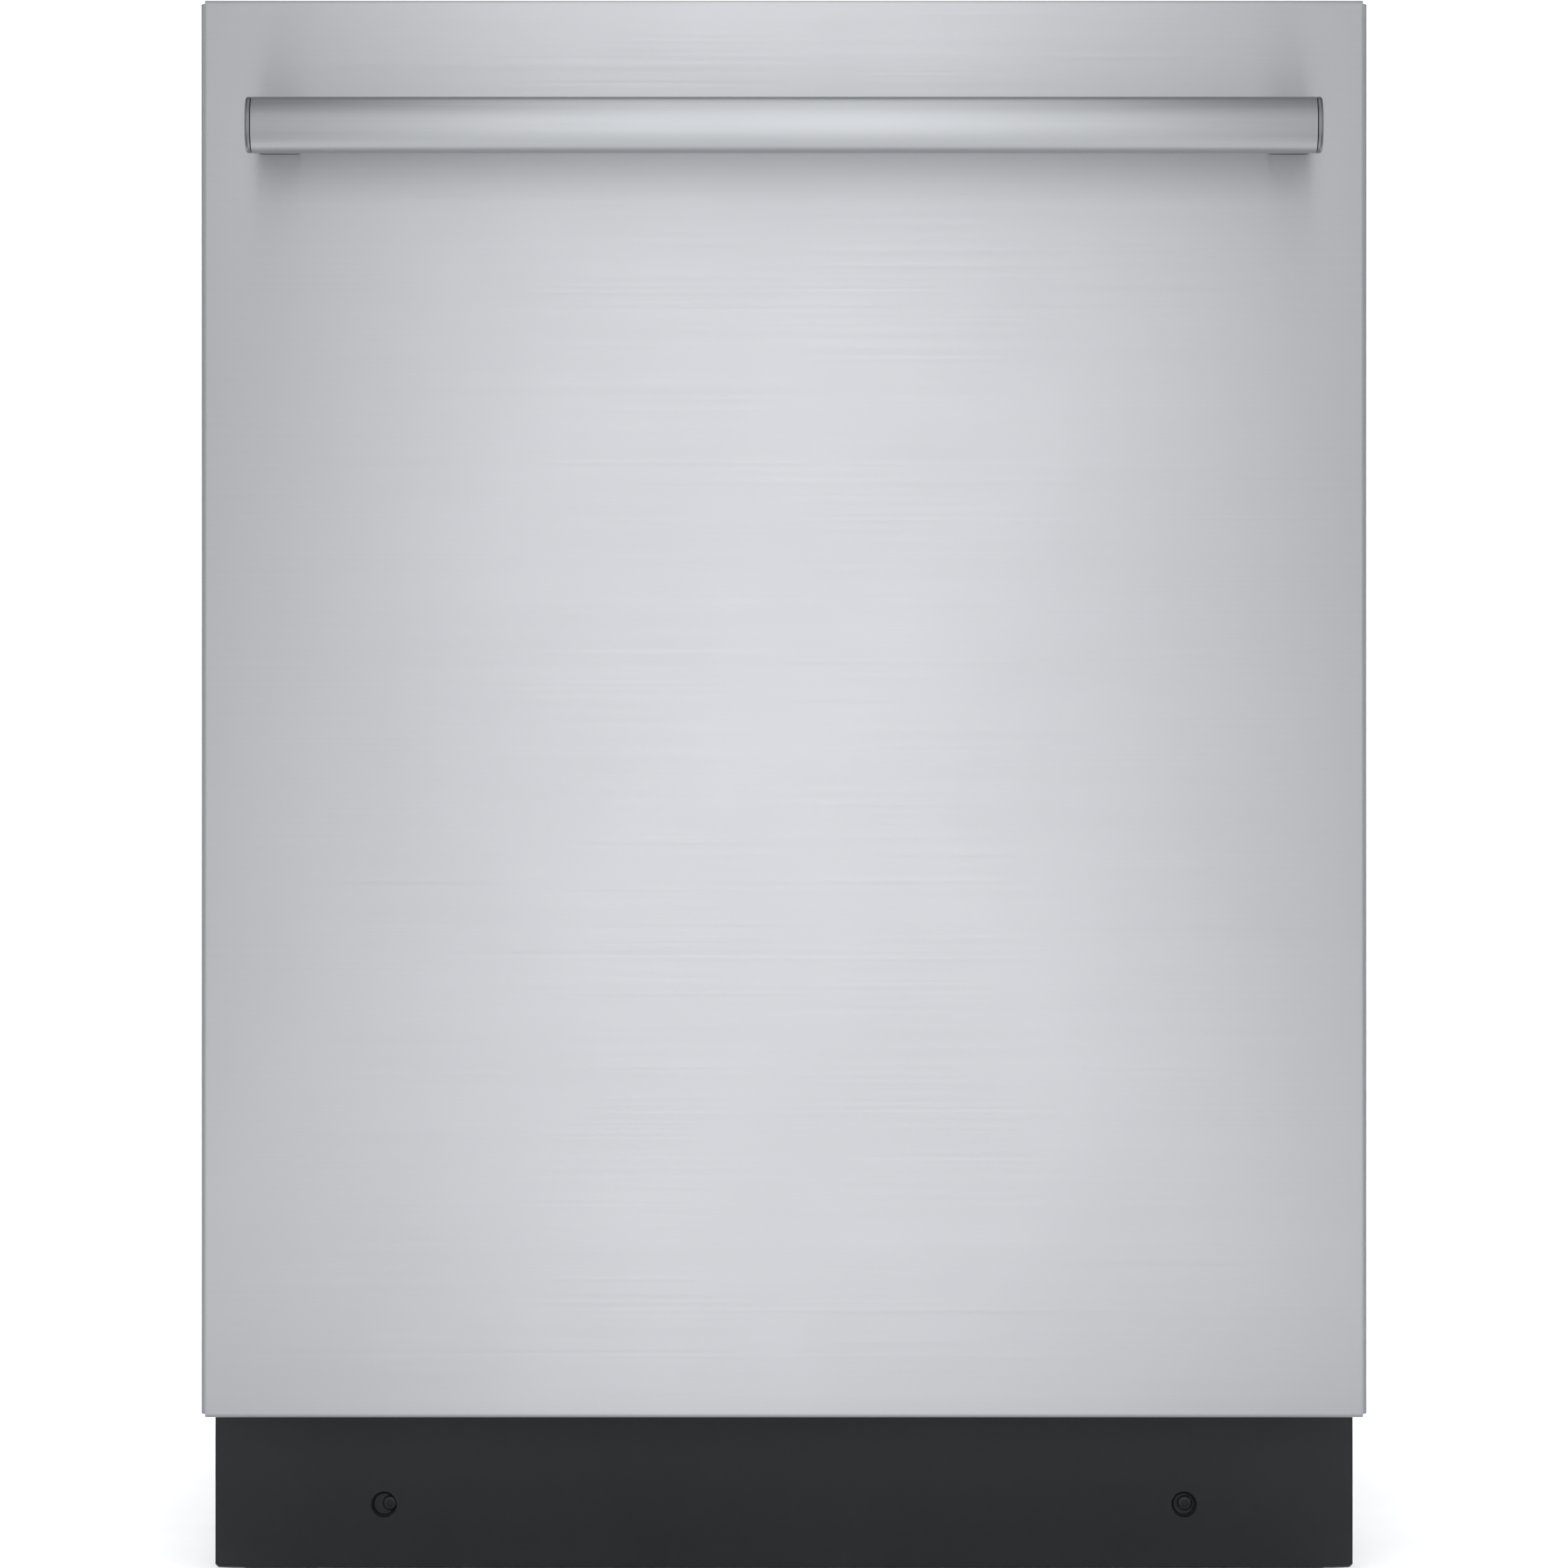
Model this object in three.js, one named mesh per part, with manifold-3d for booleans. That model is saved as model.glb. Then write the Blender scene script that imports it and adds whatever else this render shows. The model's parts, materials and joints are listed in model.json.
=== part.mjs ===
// A built-in dishwasher, 598 mm wide: a stainless door with a bar handle over a black toe kick, and the whole
// machine behind it. Millimetres, +Z up, front towards -Y. The origin is on the floor, under the middle of the
// machine from handle to back panel.
import * as THREE from "three";
import { mergeVertices } from "three/addons/utils/BufferGeometryUtils.js";
import Module from "manifold-3d";

const wasm = await Module();
wasm.setup();

// ---------------------------------------------------------------- driving dimensions
const WIDTH = 598;
const HEIGHT = 815;
const DEPTH = 603; // door face to back panel
const HANDLE_REACH = 48; // handle front to door face
const BACK = (DEPTH + HANDLE_REACH) / 2;
const FACE = BACK - DEPTH; // door face

const DOOR_BOTTOM = 88;
const DOOR_HEIGHT = HEIGHT - DOOR_BOTTOM;
const DOOR_THICK = 46;
const PIVOT_IN = 27; // hinge pin, behind the door face
const PIVOT_UP = 16; // hinge pin, above the door's lower edge
const SHEET = 0.8;
const GAP = 0.3; // between pieces that touch
const BEND = 2; // outer radius of the folded door skin

const PIVOT_Y = FACE + PIVOT_IN;
const PIVOT_Z = DOOR_BOTTOM + PIVOT_UP;
const INNER_FACE = FACE + DOOR_THICK; // the door liner's face, towards the tub

const SIDE = WIDTH / 2 - 1; // outer face of a side panel
const TUB_FRONT = FACE + 55.5;
const TUB_BACK = BACK - 27.5;
const TUB_HALF = 266;
const TUB_FLOOR = 124;
const TUB_TOP = 785;
const FLANGE_HALF = 280;
const BODY_TOP = HEIGHT - 3;
const ARM_CENTRE_Y = 38; // both spray arms turn about this line
const FILTER_Y = -75;

const BASE_HALF = 280;
const BASE_BOTTOM = 12;
const BASE_TOP = 100;

// ---------------------------------------------------------------- shape helpers
function solid(geometry) {
  const bare = geometry.index ? geometry.toNonIndexed() : geometry.clone();
  bare.deleteAttribute("normal");
  bare.deleteAttribute("uv");
  const merged = mergeVertices(bare, 1e-3);
  return new wasm.Manifold(
    new wasm.Mesh({
      numProp: 3,
      vertProperties: merged.attributes.position.array,
      triVerts: new Uint32Array(merged.index.array),
    }),
  );
}

const join = (first, ...others) => others.reduce((sum, other) => sum.add(other), first);
const cut = (first, ...others) => others.reduce((rest, other) => rest.subtract(other), first);
const middle = ([low, high]) => (low + high) / 2;
const length = ([low, high]) => high - low;
const around = (centre, half) => [centre - half, centre + half];

function slab(x, y, z) {
  const box = new THREE.BoxGeometry(length(x), length(y), length(z));
  return solid(box.translate(middle(x), middle(y), middle(z)));
}

// A cylinder, or a cone where the two radii differ, along one axis between two places on it.
function rod(axis, span, [a, b], radius, endRadius = radius, sides = 16) {
  const shape = new THREE.CylinderGeometry(endRadius, radius, length(span), sides);
  if (axis === "x") shape.rotateZ(-Math.PI / 2).translate(middle(span), a, b);
  if (axis === "y") shape.translate(a, middle(span), b);
  if (axis === "z") shape.rotateX(Math.PI / 2).translate(a, b, middle(span));
  return solid(shape);
}

// An outline pushed along an axis. Its two coordinates are y, z along x; x, z along y; x, y along z.
function push(axis, span, outline, segments = 6) {
  const made = new THREE.ExtrudeGeometry(outline, {
    depth: length(span),
    bevelEnabled: false,
    curveSegments: segments,
  });
  const [X, Y, Z] = [0, 1, 2].map((n) => new THREE.Vector3().setComponent(n, 1));
  const turn = new THREE.Matrix4();
  if (axis === "x") made.applyMatrix4(turn.makeBasis(Y, Z, X)).translate(span[0], 0, 0);
  if (axis === "y") made.applyMatrix4(turn.makeBasis(X, Z, Y.clone().negate())).translate(0, span[1], 0);
  if (axis === "z") made.translate(0, 0, span[0]);
  return solid(made);
}

function polygon(...points) {
  return new THREE.Shape(points.map(([u, v]) => new THREE.Vector2(u, v)));
}

function roundedBox(u, v, radius) {
  const shape = new THREE.Shape();
  const quarter = Math.PI / 2;
  shape.absarc(u[1] - radius, v[0] + radius, radius, -quarter, 0);
  shape.absarc(u[1] - radius, v[1] - radius, radius, 0, quarter);
  shape.absarc(u[0] + radius, v[1] - radius, radius, quarter, 2 * quarter);
  shape.absarc(u[0] + radius, v[0] + radius, radius, 2 * quarter, 3 * quarter);
  shape.closePath();
  return shape;
}

// ---------------------------------------------------------------- materials
const finish = (color, roughness, metalness) => new THREE.MeshStandardMaterial({ color, roughness, metalness });
const steel = finish(0xc9ccd2, 0.34, 1);
const bright = finish(0xbfc2c6, 0.22, 1);
const zinc = finish(0xa5a9ad, 0.5, 1);
const kickPaint = finish(0x303133, 0.6, 0.1);
const darkPlastic = finish(0x2a2b2d, 0.55, 0);
const greyPlastic = finish(0x8e9196, 0.5, 0);
const palePlastic = finish(0xd8dadb, 0.45, 0);
const rubber = finish(0x1c1c1d, 0.85, 0);
const bitumen = finish(0x242425, 0.9, 0);
const coatedWire = finish(0xb9bdc3, 0.4, 0.3);
const glossBlack = finish(0x0b0b0c, 0.08, 0);
const filterSteel = finish(0xb2b5ba, 0.35, 1);
const handleSteel = finish(0xb4b7bc, 0.36, 1);
const handleEnd = finish(0x7c7e83, 0.4, 1);
const screwBlack = finish(0x1d1e20, 0.4, 0.6);
const motorCase = finish(0x54575b, 0.5, 0.4);

// A named mesh from a manifold-3d solid.
function piece(name, made, material) {
  const mesh = made.getMesh();
  const geometry = new THREE.BufferGeometry();
  geometry.setAttribute("position", new THREE.BufferAttribute(mesh.vertProperties, 3));
  geometry.setIndex(new THREE.BufferAttribute(mesh.triVerts, 1));
  const named = new THREE.Mesh(geometry, material);
  named.name = name;
  return named;
}

function groupAt(x, y, z, ...children) {
  const group = new THREE.Group();
  group.position.set(x, y, z);
  group.add(...children);
  return group;
}

// The same piece on both sides. make(side) gets -1 for the left one and +1 for the right one.
const onBothSides = (make) => [make(-1, "left"), make(1, "right")];
const sided = (side, near, far) => (side > 0 ? [near, far] : [-far, -near]);

// ---------------------------------------------------------------- door: x across, y back from its face, z up
// A sheet folded back along all four edges, with round bends.
function foldedPan(x, z, depth, radius) {
  const quarter = Math.PI / 2;
  const rounded = (span, r, far) => {
    const [low, high] = span;
    const outline = new THREE.Shape();
    outline.moveTo(high, far);
    outline.lineTo(low, far);
    outline.absarc(low + r, r, r, 2 * quarter, 3 * quarter);
    outline.absarc(high - r, r, r, -quarter, 0);
    outline.closePath();
    return outline;
  };
  const across = push("z", z, rounded(x, radius, depth), 4);
  const swapped = new THREE.Shape(rounded(z, radius, depth).getPoints(4).map((p) => new THREE.Vector2(p.y, p.x)));
  return across.intersect(push("x", x, swapped, 1));
}

function doorSkin() {
  const x = around(0, WIDTH / 2);
  const z = [0, DOOR_HEIGHT];
  const flange = 20;
  const outer = foldedPan(x, z, flange, BEND);
  const inner = foldedPan(
    [x[0] + SHEET, x[1] - SHEET],
    [z[0] + SHEET, z[1] - SHEET],
    flange + 1,
    BEND - SHEET,
  ).translate(0, SHEET, 0);
  const topFlange = 5;
  const overControls = slab([-WIDTH, WIDTH], [topFlange, flange + 1], [DOOR_HEIGHT - 2 * SHEET, DOOR_HEIGHT + 1]);
  const notch = 3;
  const notches = onBothSides((side) =>
    slab(sided(side, WIDTH / 2 - notch, WIDTH / 2 + 1), [1.5, flange + 1], [-1, 1.6]),
  );
  return piece("door_skin", cut(outer, inner, overControls, ...notches), steel);
}

const LINER_HALF = 282.5;
const LINER_Z = [18, 686];
const DISPENSER = { x: 60, z: 400, halfWidth: 92, halfHeight: 70 };

function doorLiner() {
  const depth = 22;
  const front = DOOR_THICK - depth;
  const outer = foldedPan(around(0, LINER_HALF), LINER_Z, depth, 3);
  const inner = foldedPan(
    around(0, LINER_HALF - SHEET),
    [LINER_Z[0] + SHEET, LINER_Z[1] - SHEET],
    depth + 1,
    3 - SHEET,
  ).translate(0, SHEET, 0);
  const pan = cut(outer, inner).rotate([0, 0, 180]).translate([0, depth + front, 0]);
  const window = slab(
    around(DISPENSER.x, DISPENSER.halfWidth - 5),
    [0, DOOR_THICK + 1],
    around(DISPENSER.z, DISPENSER.halfHeight - 5),
  );
  return piece("door_liner", cut(pan, window), bright);
}

const CONTROL = { half: 296, y: [6, 45.5], z: [690, 723], wall: 2.5 };
const BUTTON = { width: 17, depth: 10, y: 24, rise: 1.5, height: 11 };
const BUTTONS = { power_button: -250, cycle_button: -196, option_button: 196, start_button: 250 };
const DISPLAY = { x: [60, 140], y: [17, 31] };

function controlPanel() {
  const { half, y, z, wall } = CONTROL;
  const shell = cut(
    slab(around(0, half), y, z),
    slab(around(0, half - wall), [y[0] + wall, y[1] - wall], [z[0] - 1, z[1] - wall]),
  );
  const top = [z[1] - wall - 1, z[1] + 1];
  const buttonHoles = Object.values(BUTTONS).map((x) =>
    push("z", top, roundedBox(around(x, BUTTON.width / 2 + 0.5), around(BUTTON.y, BUTTON.depth / 2 + 0.5), 2), 2),
  );
  const displaySlot = slab(
    [DISPLAY.x[0] - GAP, DISPLAY.x[1] + GAP],
    [DISPLAY.y[0] - GAP, DISPLAY.y[1] + GAP],
    top,
  );
  const latchMouth = slab(around(0, 24), [y[1] - wall - 1, y[1] + 1], [706, 719]);
  return piece("control_panel", cut(shell, ...buttonHoles, displaySlot, latchMouth), darkPlastic);
}

const displayWindow = () =>
  piece("display_window", slab(DISPLAY.x, DISPLAY.y, [CONTROL.z[1] - CONTROL.wall, CONTROL.z[1] + 0.2]), glossBlack);

function button(name, x) {
  const top = CONTROL.z[1] + BUTTON.rise;
  const outline = roundedBox(around(x, BUTTON.width / 2), around(BUTTON.y, BUTTON.depth / 2), 1.6);
  return piece(name, push("z", [top - BUTTON.height, top], outline, 2), greyPlastic);
}

// The rocker turns on a pin inside the control panel and lifts its nose through the strike's loop.
const ROCKER = { y: 22, z: 702 };
function latchRocker() {
  const lever = push(
    "x",
    around(0, 5),
    polygon([-6, -5], [12, -5], [20.5, -1], [20.5, 8], [17, 8], [13, 3], [-6, 5]),
    1,
  );
  const hub = rod("x", around(0, 8), [0, 0], 6, 6, 16);
  const made = join(lever, hub);
  return groupAt(0, ROCKER.y, ROCKER.z, piece("latch_rocker", made, palePlastic));
}

const HANDLE = { z: 656.8, half: 271, height: 28, depth: 15, cap: 3.2, postWidth: 24, postHeight: 18 };

// The handle's section: a lens, round in front and flatter behind. u is y from the bar's middle, v is z.
function handleSection(shrink = 0) {
  const points = [];
  const steps = 28;
  for (let n = 0; n < steps; n++) {
    const angle = (2 * Math.PI * n) / steps;
    const rounded = (value, power) => Math.sign(value) * Math.abs(value) ** power;
    points.push([
      (HANDLE.depth / 2 - shrink) * rounded(Math.cos(angle), 0.8),
      (HANDLE.height / 2 - shrink) * rounded(Math.sin(angle), 0.8),
    ]);
  }
  return polygon(...points);
}

function handleBar() {
  const half = HANDLE.half - HANDLE.cap;
  return piece("handle_bar", push("x", around(0, half), handleSection()), handleSteel);
}

// Each end is one casting: the cap that closes the bar, with a rounded rim, and the post that stands on the door.
function handleEndCasting(side, name) {
  const inner = HANDLE.half - HANDLE.cap + GAP;
  const rim = 1.4;
  const cap = push("x", sided(side, inner, HANDLE.half - rim), handleSection());
  const nose = push("x", sided(side, HANDLE.half - rim - 0.01, HANDLE.half), handleSection(1));
  const foot = HANDLE_REACH - HANDLE.depth / 2 - GAP;
  const post = slab(
    sided(side, HANDLE.half - HANDLE.postWidth, HANDLE.half - 0.6),
    [HANDLE.depth / 2 + GAP, foot],
    around(0, HANDLE.postHeight / 2),
  );
  const web = slab(
    sided(side, inner, HANDLE.half - 0.6),
    [0, HANDLE.depth / 2 + 2],
    around(0, HANDLE.postHeight / 2),
  );
  return piece("handle_end_" + name, join(cap, nose, post, web), handleEnd);
}

function handle() {
  return groupAt(
    0,
    HANDLE.depth / 2 - HANDLE_REACH,
    HANDLE.z,
    handleBar(),
    ...onBothSides(handleEndCasting),
  );
}

// Hinge parts lie in the slot between the tub and the side panel. y and z from the hinge pin.
const LEVER = 30; // from the pin back to the spring's hole
const ARM_X = [284, 287];
const PIN_RADIUS = 4;
function hingeArm(side, name) {
  const outline = polygon(
    [-13, -6],
    [LEVER + 5, -5],
    [LEVER + 5, 5],
    [14, 9],
    [12, 30],
    [12, 240],
    [-10, 240],
    [-13, 20],
  );
  const plate = push("x", sided(side, ...ARM_X), outline, 1);
  const hole = rod("x", sided(side, ARM_X[0] - 1, ARM_X[1] + 1), [0, 0], PIN_RADIUS + GAP, PIN_RADIUS + GAP, 16);
  const eye = rod("x", sided(side, ARM_X[0] - 1, ARM_X[1] + 1), [LEVER, 0], 2, 2, 12);
  return piece("hinge_arm_" + name, cut(plate, hole, eye), zinc);
}

// The detergent dispenser, let into the liner. y from the liner's face.
function dispenserBody() {
  const { halfWidth, halfHeight } = DISPENSER;
  const plate = push("y", [GAP, 2.5], roundedBox(around(0, halfWidth), around(0, halfHeight), 8), 4);
  const well = slab(around(0, halfWidth - 6), [-22, 1], around(0, halfHeight - 6));
  const cup = slab([-76, -12], [-19, 4], [-58, -2]);
  const capSeat = rod("y", [-12, 4], [48, 0], 20.5);
  return piece("dispenser_body", cut(join(plate, well), cup, capSeat), greyPlastic);
}

function dispenserLid() {
  const lid = slab([-80, -8], [2.8, 4.8], [-62, 2]);
  const grip = slab([-56, -32], [4.7, 6.4], [-16, -12]);
  return piece("dispenser_lid", join(lid, grip), palePlastic);
}

function rinseCap() {
  const cap = rod("y", [-10, 4.2], [0, 0], 20, 19.4, 20);
  const grip = slab(around(0, 15), [4, 7], around(0, 3));
  return groupAt(48, 0, 0, piece("rinse_aid_cap", join(cap, grip), palePlastic));
}

function door() {
  return groupAt(
    0,
    FACE,
    DOOR_BOTTOM,
    doorSkin(),
    doorLiner(),
    controlPanel(),
    displayWindow(),
    ...Object.entries(BUTTONS).map(([name, x]) => button(name, x)),
    latchRocker(),
    handle(),
    groupAt(0, PIVOT_IN, PIVOT_UP, ...onBothSides(hingeArm)),
    groupAt(DISPENSER.x, DOOR_THICK, DISPENSER.z, dispenserBody(), dispenserLid(), rinseCap()),
  );
}

// ---------------------------------------------------------------- hinge brackets and counterbalance springs
const ANCHOR = { y: 90, z: -60 }; // the spring's fixed end, from the hinge pin
const BRACKET_X = [294.5, 296.5];
const SPRING_X = 287.8;
const SPRING_RADIUS = 4.4;

function hingeBracket(side, name) {
  const outline = new THREE.Shape();
  const nose = 10;
  outline.absarc(0, 0, nose, Math.asin(0.9), Math.PI + Math.asin(0.9));
  outline.lineTo(14, -4);
  outline.lineTo(42, -4);
  outline.lineTo(42, -76);
  outline.lineTo(112, -76);
  outline.lineTo(112, 14);
  outline.lineTo(12, 14);
  outline.closePath();
  const plate = push("x", sided(side, ...BRACKET_X), outline, 10);
  const pin = rod("x", sided(side, ARM_X[0] - 1, BRACKET_X[1]), [0, 0], PIN_RADIUS, PIN_RADIUS, 16);
  const post = rod("x", sided(side, SPRING_X - 3.5, BRACKET_X[1]), [ANCHOR.y, ANCHOR.z], 2.2, 2.2, 12);
  return piece("hinge_bracket_" + name, join(plate, pin, post), zinc);
}

// The spring runs straight from the anchor post to the lever's eye.
const SPRING_DIRECTION = new THREE.Vector2(LEVER - ANCHOR.y, -ANCHOR.z).normalize();
const SPRING_LENGTH = Math.hypot(LEVER - ANCHOR.y, ANCHOR.z);

function alongSpring(side, from, to, radius, x = SPRING_X) {
  const made = new THREE.CylinderGeometry(radius, radius, to - from, 12).translate(0, (from + to) / 2, 0);
  const angle = Math.atan2(SPRING_DIRECTION.y, SPRING_DIRECTION.x);
  made.rotateX(angle).translate(side * x, ANCHOR.y, ANCHOR.z);
  return solid(made);
}

const doorSpring = (side, name) =>
  piece("door_spring_" + name, alongSpring(side, 5, SPRING_LENGTH - 17, SPRING_RADIUS), zinc);

// The spring's moving end: a rod that ends in a flat hook beside the lever's eye.
function springHook(side, name) {
  const shank = alongSpring(side, SPRING_LENGTH - 16.6, SPRING_LENGTH - 2, 1.4, 289);
  const eye = cut(
    rod("x", sided(side, 288, 290), [LEVER, 0], 4.5, 4.5, 14),
    rod("x", sided(side, 287, 291), [LEVER, 0], 2.2, 2.2, 12),
  );
  return piece("spring_hook_" + name, join(shank, eye), bright);
}

// ---------------------------------------------------------------- tub, and what stands in it
const TUB_CORNER = 16;
const RAIL = { x: [254, 263.8], web: [259.6, 261], z: [468, 488], y: [-206, 272], lip: 1.6 };
const THIRD_RAIL = { ...RAIL, z: [716, 734] };
const SUMP_HOLE = 112;
const SUMP_Y = -18;

function tub() {
  const shell = (grow, y) =>
    push(
      "y",
      y,
      roundedBox(
        around(0, TUB_HALF - SHEET + grow),
        [TUB_FLOOR - grow, TUB_TOP - SHEET + grow],
        TUB_CORNER - SHEET + grow,
      ),
      4,
    );
  const flange = slab(around(0, FLANGE_HALF), [TUB_FRONT, TUB_FRONT + SHEET], [106, BODY_TOP]);
  const outer = join(shell(SHEET, [TUB_FRONT, TUB_BACK]), flange);
  const inner = shell(0, [TUB_FRONT - 1, TUB_BACK - SHEET]);
  const sumpHole = rod("z", [TUB_FLOOR - 5, TUB_FLOOR + 5], [0, SUMP_Y], SUMP_HOLE, SUMP_HOLE, 24);
  const rollers = [RAIL, THIRD_RAIL].flatMap((of) =>
    [-190, 40].flatMap((y) =>
      onBothSides((side) => {
        const radius = rollerRadius(of);
        return rod("x", sided(side, of.web[1] + 0.8, TUB_HALF - 0.4), [y, middle(of.z)], radius, radius, 12);
      }),
    ),
  );
  return piece("tub", join(cut(outer, inner, sumpHole), ...rollers), bright);
}

function tubGasket() {
  const y = [INNER_FACE + 0.7, TUB_FRONT - GAP];
  const outer = push("y", y, roundedBox(around(0, 277), [109, 797], 26), 4);
  const inner = push("y", [y[0] - 1, y[1] + 1], roundedBox(around(0, 267.5), [118, 787], 18), 4);
  return piece("tub_gasket", cut(outer, inner), rubber);
}

function doorStrike() {
  const base = slab(around(0, 26), [TUB_FRONT - 2, TUB_FRONT - GAP], [800, 811]);
  const reach = 28;
  const z = [803, 806];
  const loop = cut(
    slab(around(0, 16), [TUB_FRONT - reach, TUB_FRONT - 1], z),
    slab(around(0, 13), [TUB_FRONT - reach + 3, TUB_FRONT - 3], [z[0] - 1, z[1] + 1]),
  );
  return piece("door_strike", join(base, loop), bright);
}

const SPRAY_HEAD_Z = 768;
function feedPipe() {
  const y = [TUB_BACK - SHEET - 14, TUB_BACK - SHEET - GAP];
  const riser = push("z", [TUB_FLOOR + 3, TUB_TOP - 4], roundedBox(around(0, 17), y, 5), 3);
  const dock = rod("y", [y[0] - 8, y[0] + 1], [0, UPPER.manifold], 13, 13, 20);
  const ceiling = slab(around(0, 12), [ARM_CENTRE_Y, y[0] + 2], [TUB_TOP - 11, TUB_TOP - 3]);
  const head = rod("z", [SPRAY_HEAD_Z, TUB_TOP - 3], [0, ARM_CENTRE_Y], 26, 34, 18);
  return piece("feed_pipe", join(riser, dock, ceiling, head), palePlastic);
}

function filterPlate() {
  const z = [TUB_FLOOR + GAP, TUB_FLOOR + 2.2];
  const plate = rod("z", z, [0, SUMP_Y], SUMP_HOLE + 6, SUMP_HOLE + 3, 24);
  const filterHole = rod("z", [z[0] - 1, z[1] + 1], [0, FILTER_Y], 41, 41, 20);
  const hubHole = rod("z", [z[0] - 1, z[1] + 1], [0, ARM_CENTRE_Y], 21, 21, 16);
  return piece("filter_plate", cut(plate, filterHole, hubHole), filterSteel);
}

// The cylinder lets water in through three rows of windows, and turns by its handle to unlock.
function filterCylinder() {
  const bore = 34;
  const wall = 3;
  const z = [78, TUB_FLOOR + 8];
  const tube = cut(
    rod("z", z, [0, 0], bore + wall, bore + wall, 20),
    rod("z", [z[0] + 3, z[1] + 1], [0, 0], bore, bore, 20),
  );
  const windows = [];
  for (let n = 0; n < 4; n++) {
    const bar = slab([20, 45], around(0, 17), [84, 116]);
    windows.push(bar.rotate([0, 0, 90 * n]));
  }
  const bridge = slab(around(0, bore + 1), around(0, 4), [TUB_FLOOR, TUB_FLOOR + 8]);
  const grip = slab(around(0, 17), around(0, 3), [TUB_FLOOR + 7, TUB_FLOOR + 20]);
  return groupAt(0, FILTER_Y, 0, piece("filter_cylinder", join(cut(tube, ...windows), bridge, grip), greyPlastic));
}

// A spray arm: two tapered blades on a hub, with a row of nozzle bumps on each, and a blind bore for its spindle.
function sprayArm(name, reach, z, boreRadius, boreSpan) {
  const outline = new THREE.Shape();
  const root = 22;
  const tip = 14;
  outline.moveTo(-reach + tip, -tip);
  outline.lineTo(-30, -root);
  outline.lineTo(30, -root);
  outline.lineTo(reach - tip, -tip);
  outline.absarc(reach - tip, 0, tip, -Math.PI / 2, Math.PI / 2);
  outline.lineTo(30, root);
  outline.lineTo(-30, root);
  outline.lineTo(-reach + tip, tip);
  outline.absarc(-reach + tip, 0, tip, Math.PI / 2, (3 * Math.PI) / 2);
  const blades = push("z", [z, z + 12], outline, 6);
  const hub = rod("z", [z - 4, z + 14], [0, 0], 26, 24, 18);
  const nozzles = [];
  const spacing = 58;
  for (let n = 1; n * spacing + 18 < reach - tip; n++) {
    for (const side of [-1, 1]) {
      const place = [side * (n * spacing + 18), side * 3];
      nozzles.push(rod("z", [z + 11, z + 14], place, 5, 3.5, 6));
    }
  }
  const bore = rod("z", boreSpan, [0, 0], boreRadius, boreRadius, 20);
  return groupAt(0, ARM_CENTRE_Y, 0, piece(name, cut(join(blades, hub, ...nozzles), bore), palePlastic));
}

// ---------------------------------------------------------------- racks
const WIRE = 4;
const RACK_FRONT = -210;
const LOWER = { half: 242, back: 262, floor: 190, rim: 330 };
const UPPER = { half: 238, back: 262, floor: 440, rim: 566, manifold: 425 };
const THIRD = { half: 242, back: 262, floor: 704, rim: 748 };
const WHEEL = { radius: 17.5, x: [246, 254], y: [-68, 200], z: TUB_FLOOR + 0.9 + 17.5 };

const bar = (x, y, z, size = WIRE) => {
  const widen = (span) => (Array.isArray(span) ? span : around(span, size / 2));
  return slab(widen(x), widen(y), widen(z));
};

// Places spread evenly from low to high, ends included.
const spread = (low, high, count) => Array.from({ length: count }, (_, n) => low + ((high - low) * n) / (count - 1));

// A wire basket: a floor grid, uprights round the sides and a heavier rim. tines is a list of rows of pegs.
function basket({ half, back, floor, rim }, lengthways, crossways, tines = []) {
  const side = half - WIRE / 2;
  const near = RACK_FRONT + WIRE / 2;
  const far = back - WIRE / 2;
  const xs = spread(-side, side, lengthways);
  const ys = spread(near, far, crossways);
  const wires = [
    ...xs.map((x) => bar(x, [near - WIRE / 2, far + WIRE / 2], floor)),
    ...ys.map((y) => bar([-side - WIRE / 2, side + WIRE / 2], y, floor)),
    ...xs.flatMap((x) => [near, far].map((y) => bar(x, y, [floor, rim]))),
    ...ys.slice(1, -1).flatMap((y) => [-side, side].map((x) => bar(x, y, [floor, rim]))),
  ];
  const bands = rim - floor > 60 ? [(floor + rim) / 2 + 10, rim] : [rim];
  for (const z of bands) {
    const size = z === rim ? WIRE * 1.5 : WIRE;
    const reach = size / 2;
    wires.push(
      ...[-side, side].map((x) => bar(x, [near - reach, far + reach], z, size)),
      ...[near, far].map((y) => bar([-side - reach, side + reach], y, z, size)),
    );
  }
  for (const { row, places, height } of tines) {
    wires.push(bar([places[0] - 10, places.at(-1) + 10], row, floor + 1));
    wires.push(...places.map((x) => bar(x, row, [floor, floor + height])));
  }
  return join(...wires);
}

function lowerRack() {
  const plateTines = spread(-200, 60, 6);
  const made = [
    basket(LOWER, 5, 4, [
      { row: 90, places: plateTines, height: 95 },
    ]),
  ];
  for (const side of [-1, 1]) {
    for (const y of WHEEL.y) {
      made.push(slab(sided(side, LOWER.half - 5, LOWER.half), around(y, 9), [WHEEL.z - 7, LOWER.floor + 2]));
      made.push(rod("x", sided(side, LOWER.half - 2, WHEEL.x[1] + 2), [y, WHEEL.z], 3, 3, 12));
    }
  }
  return piece("lower_rack", join(...made), coatedWire);
}

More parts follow.
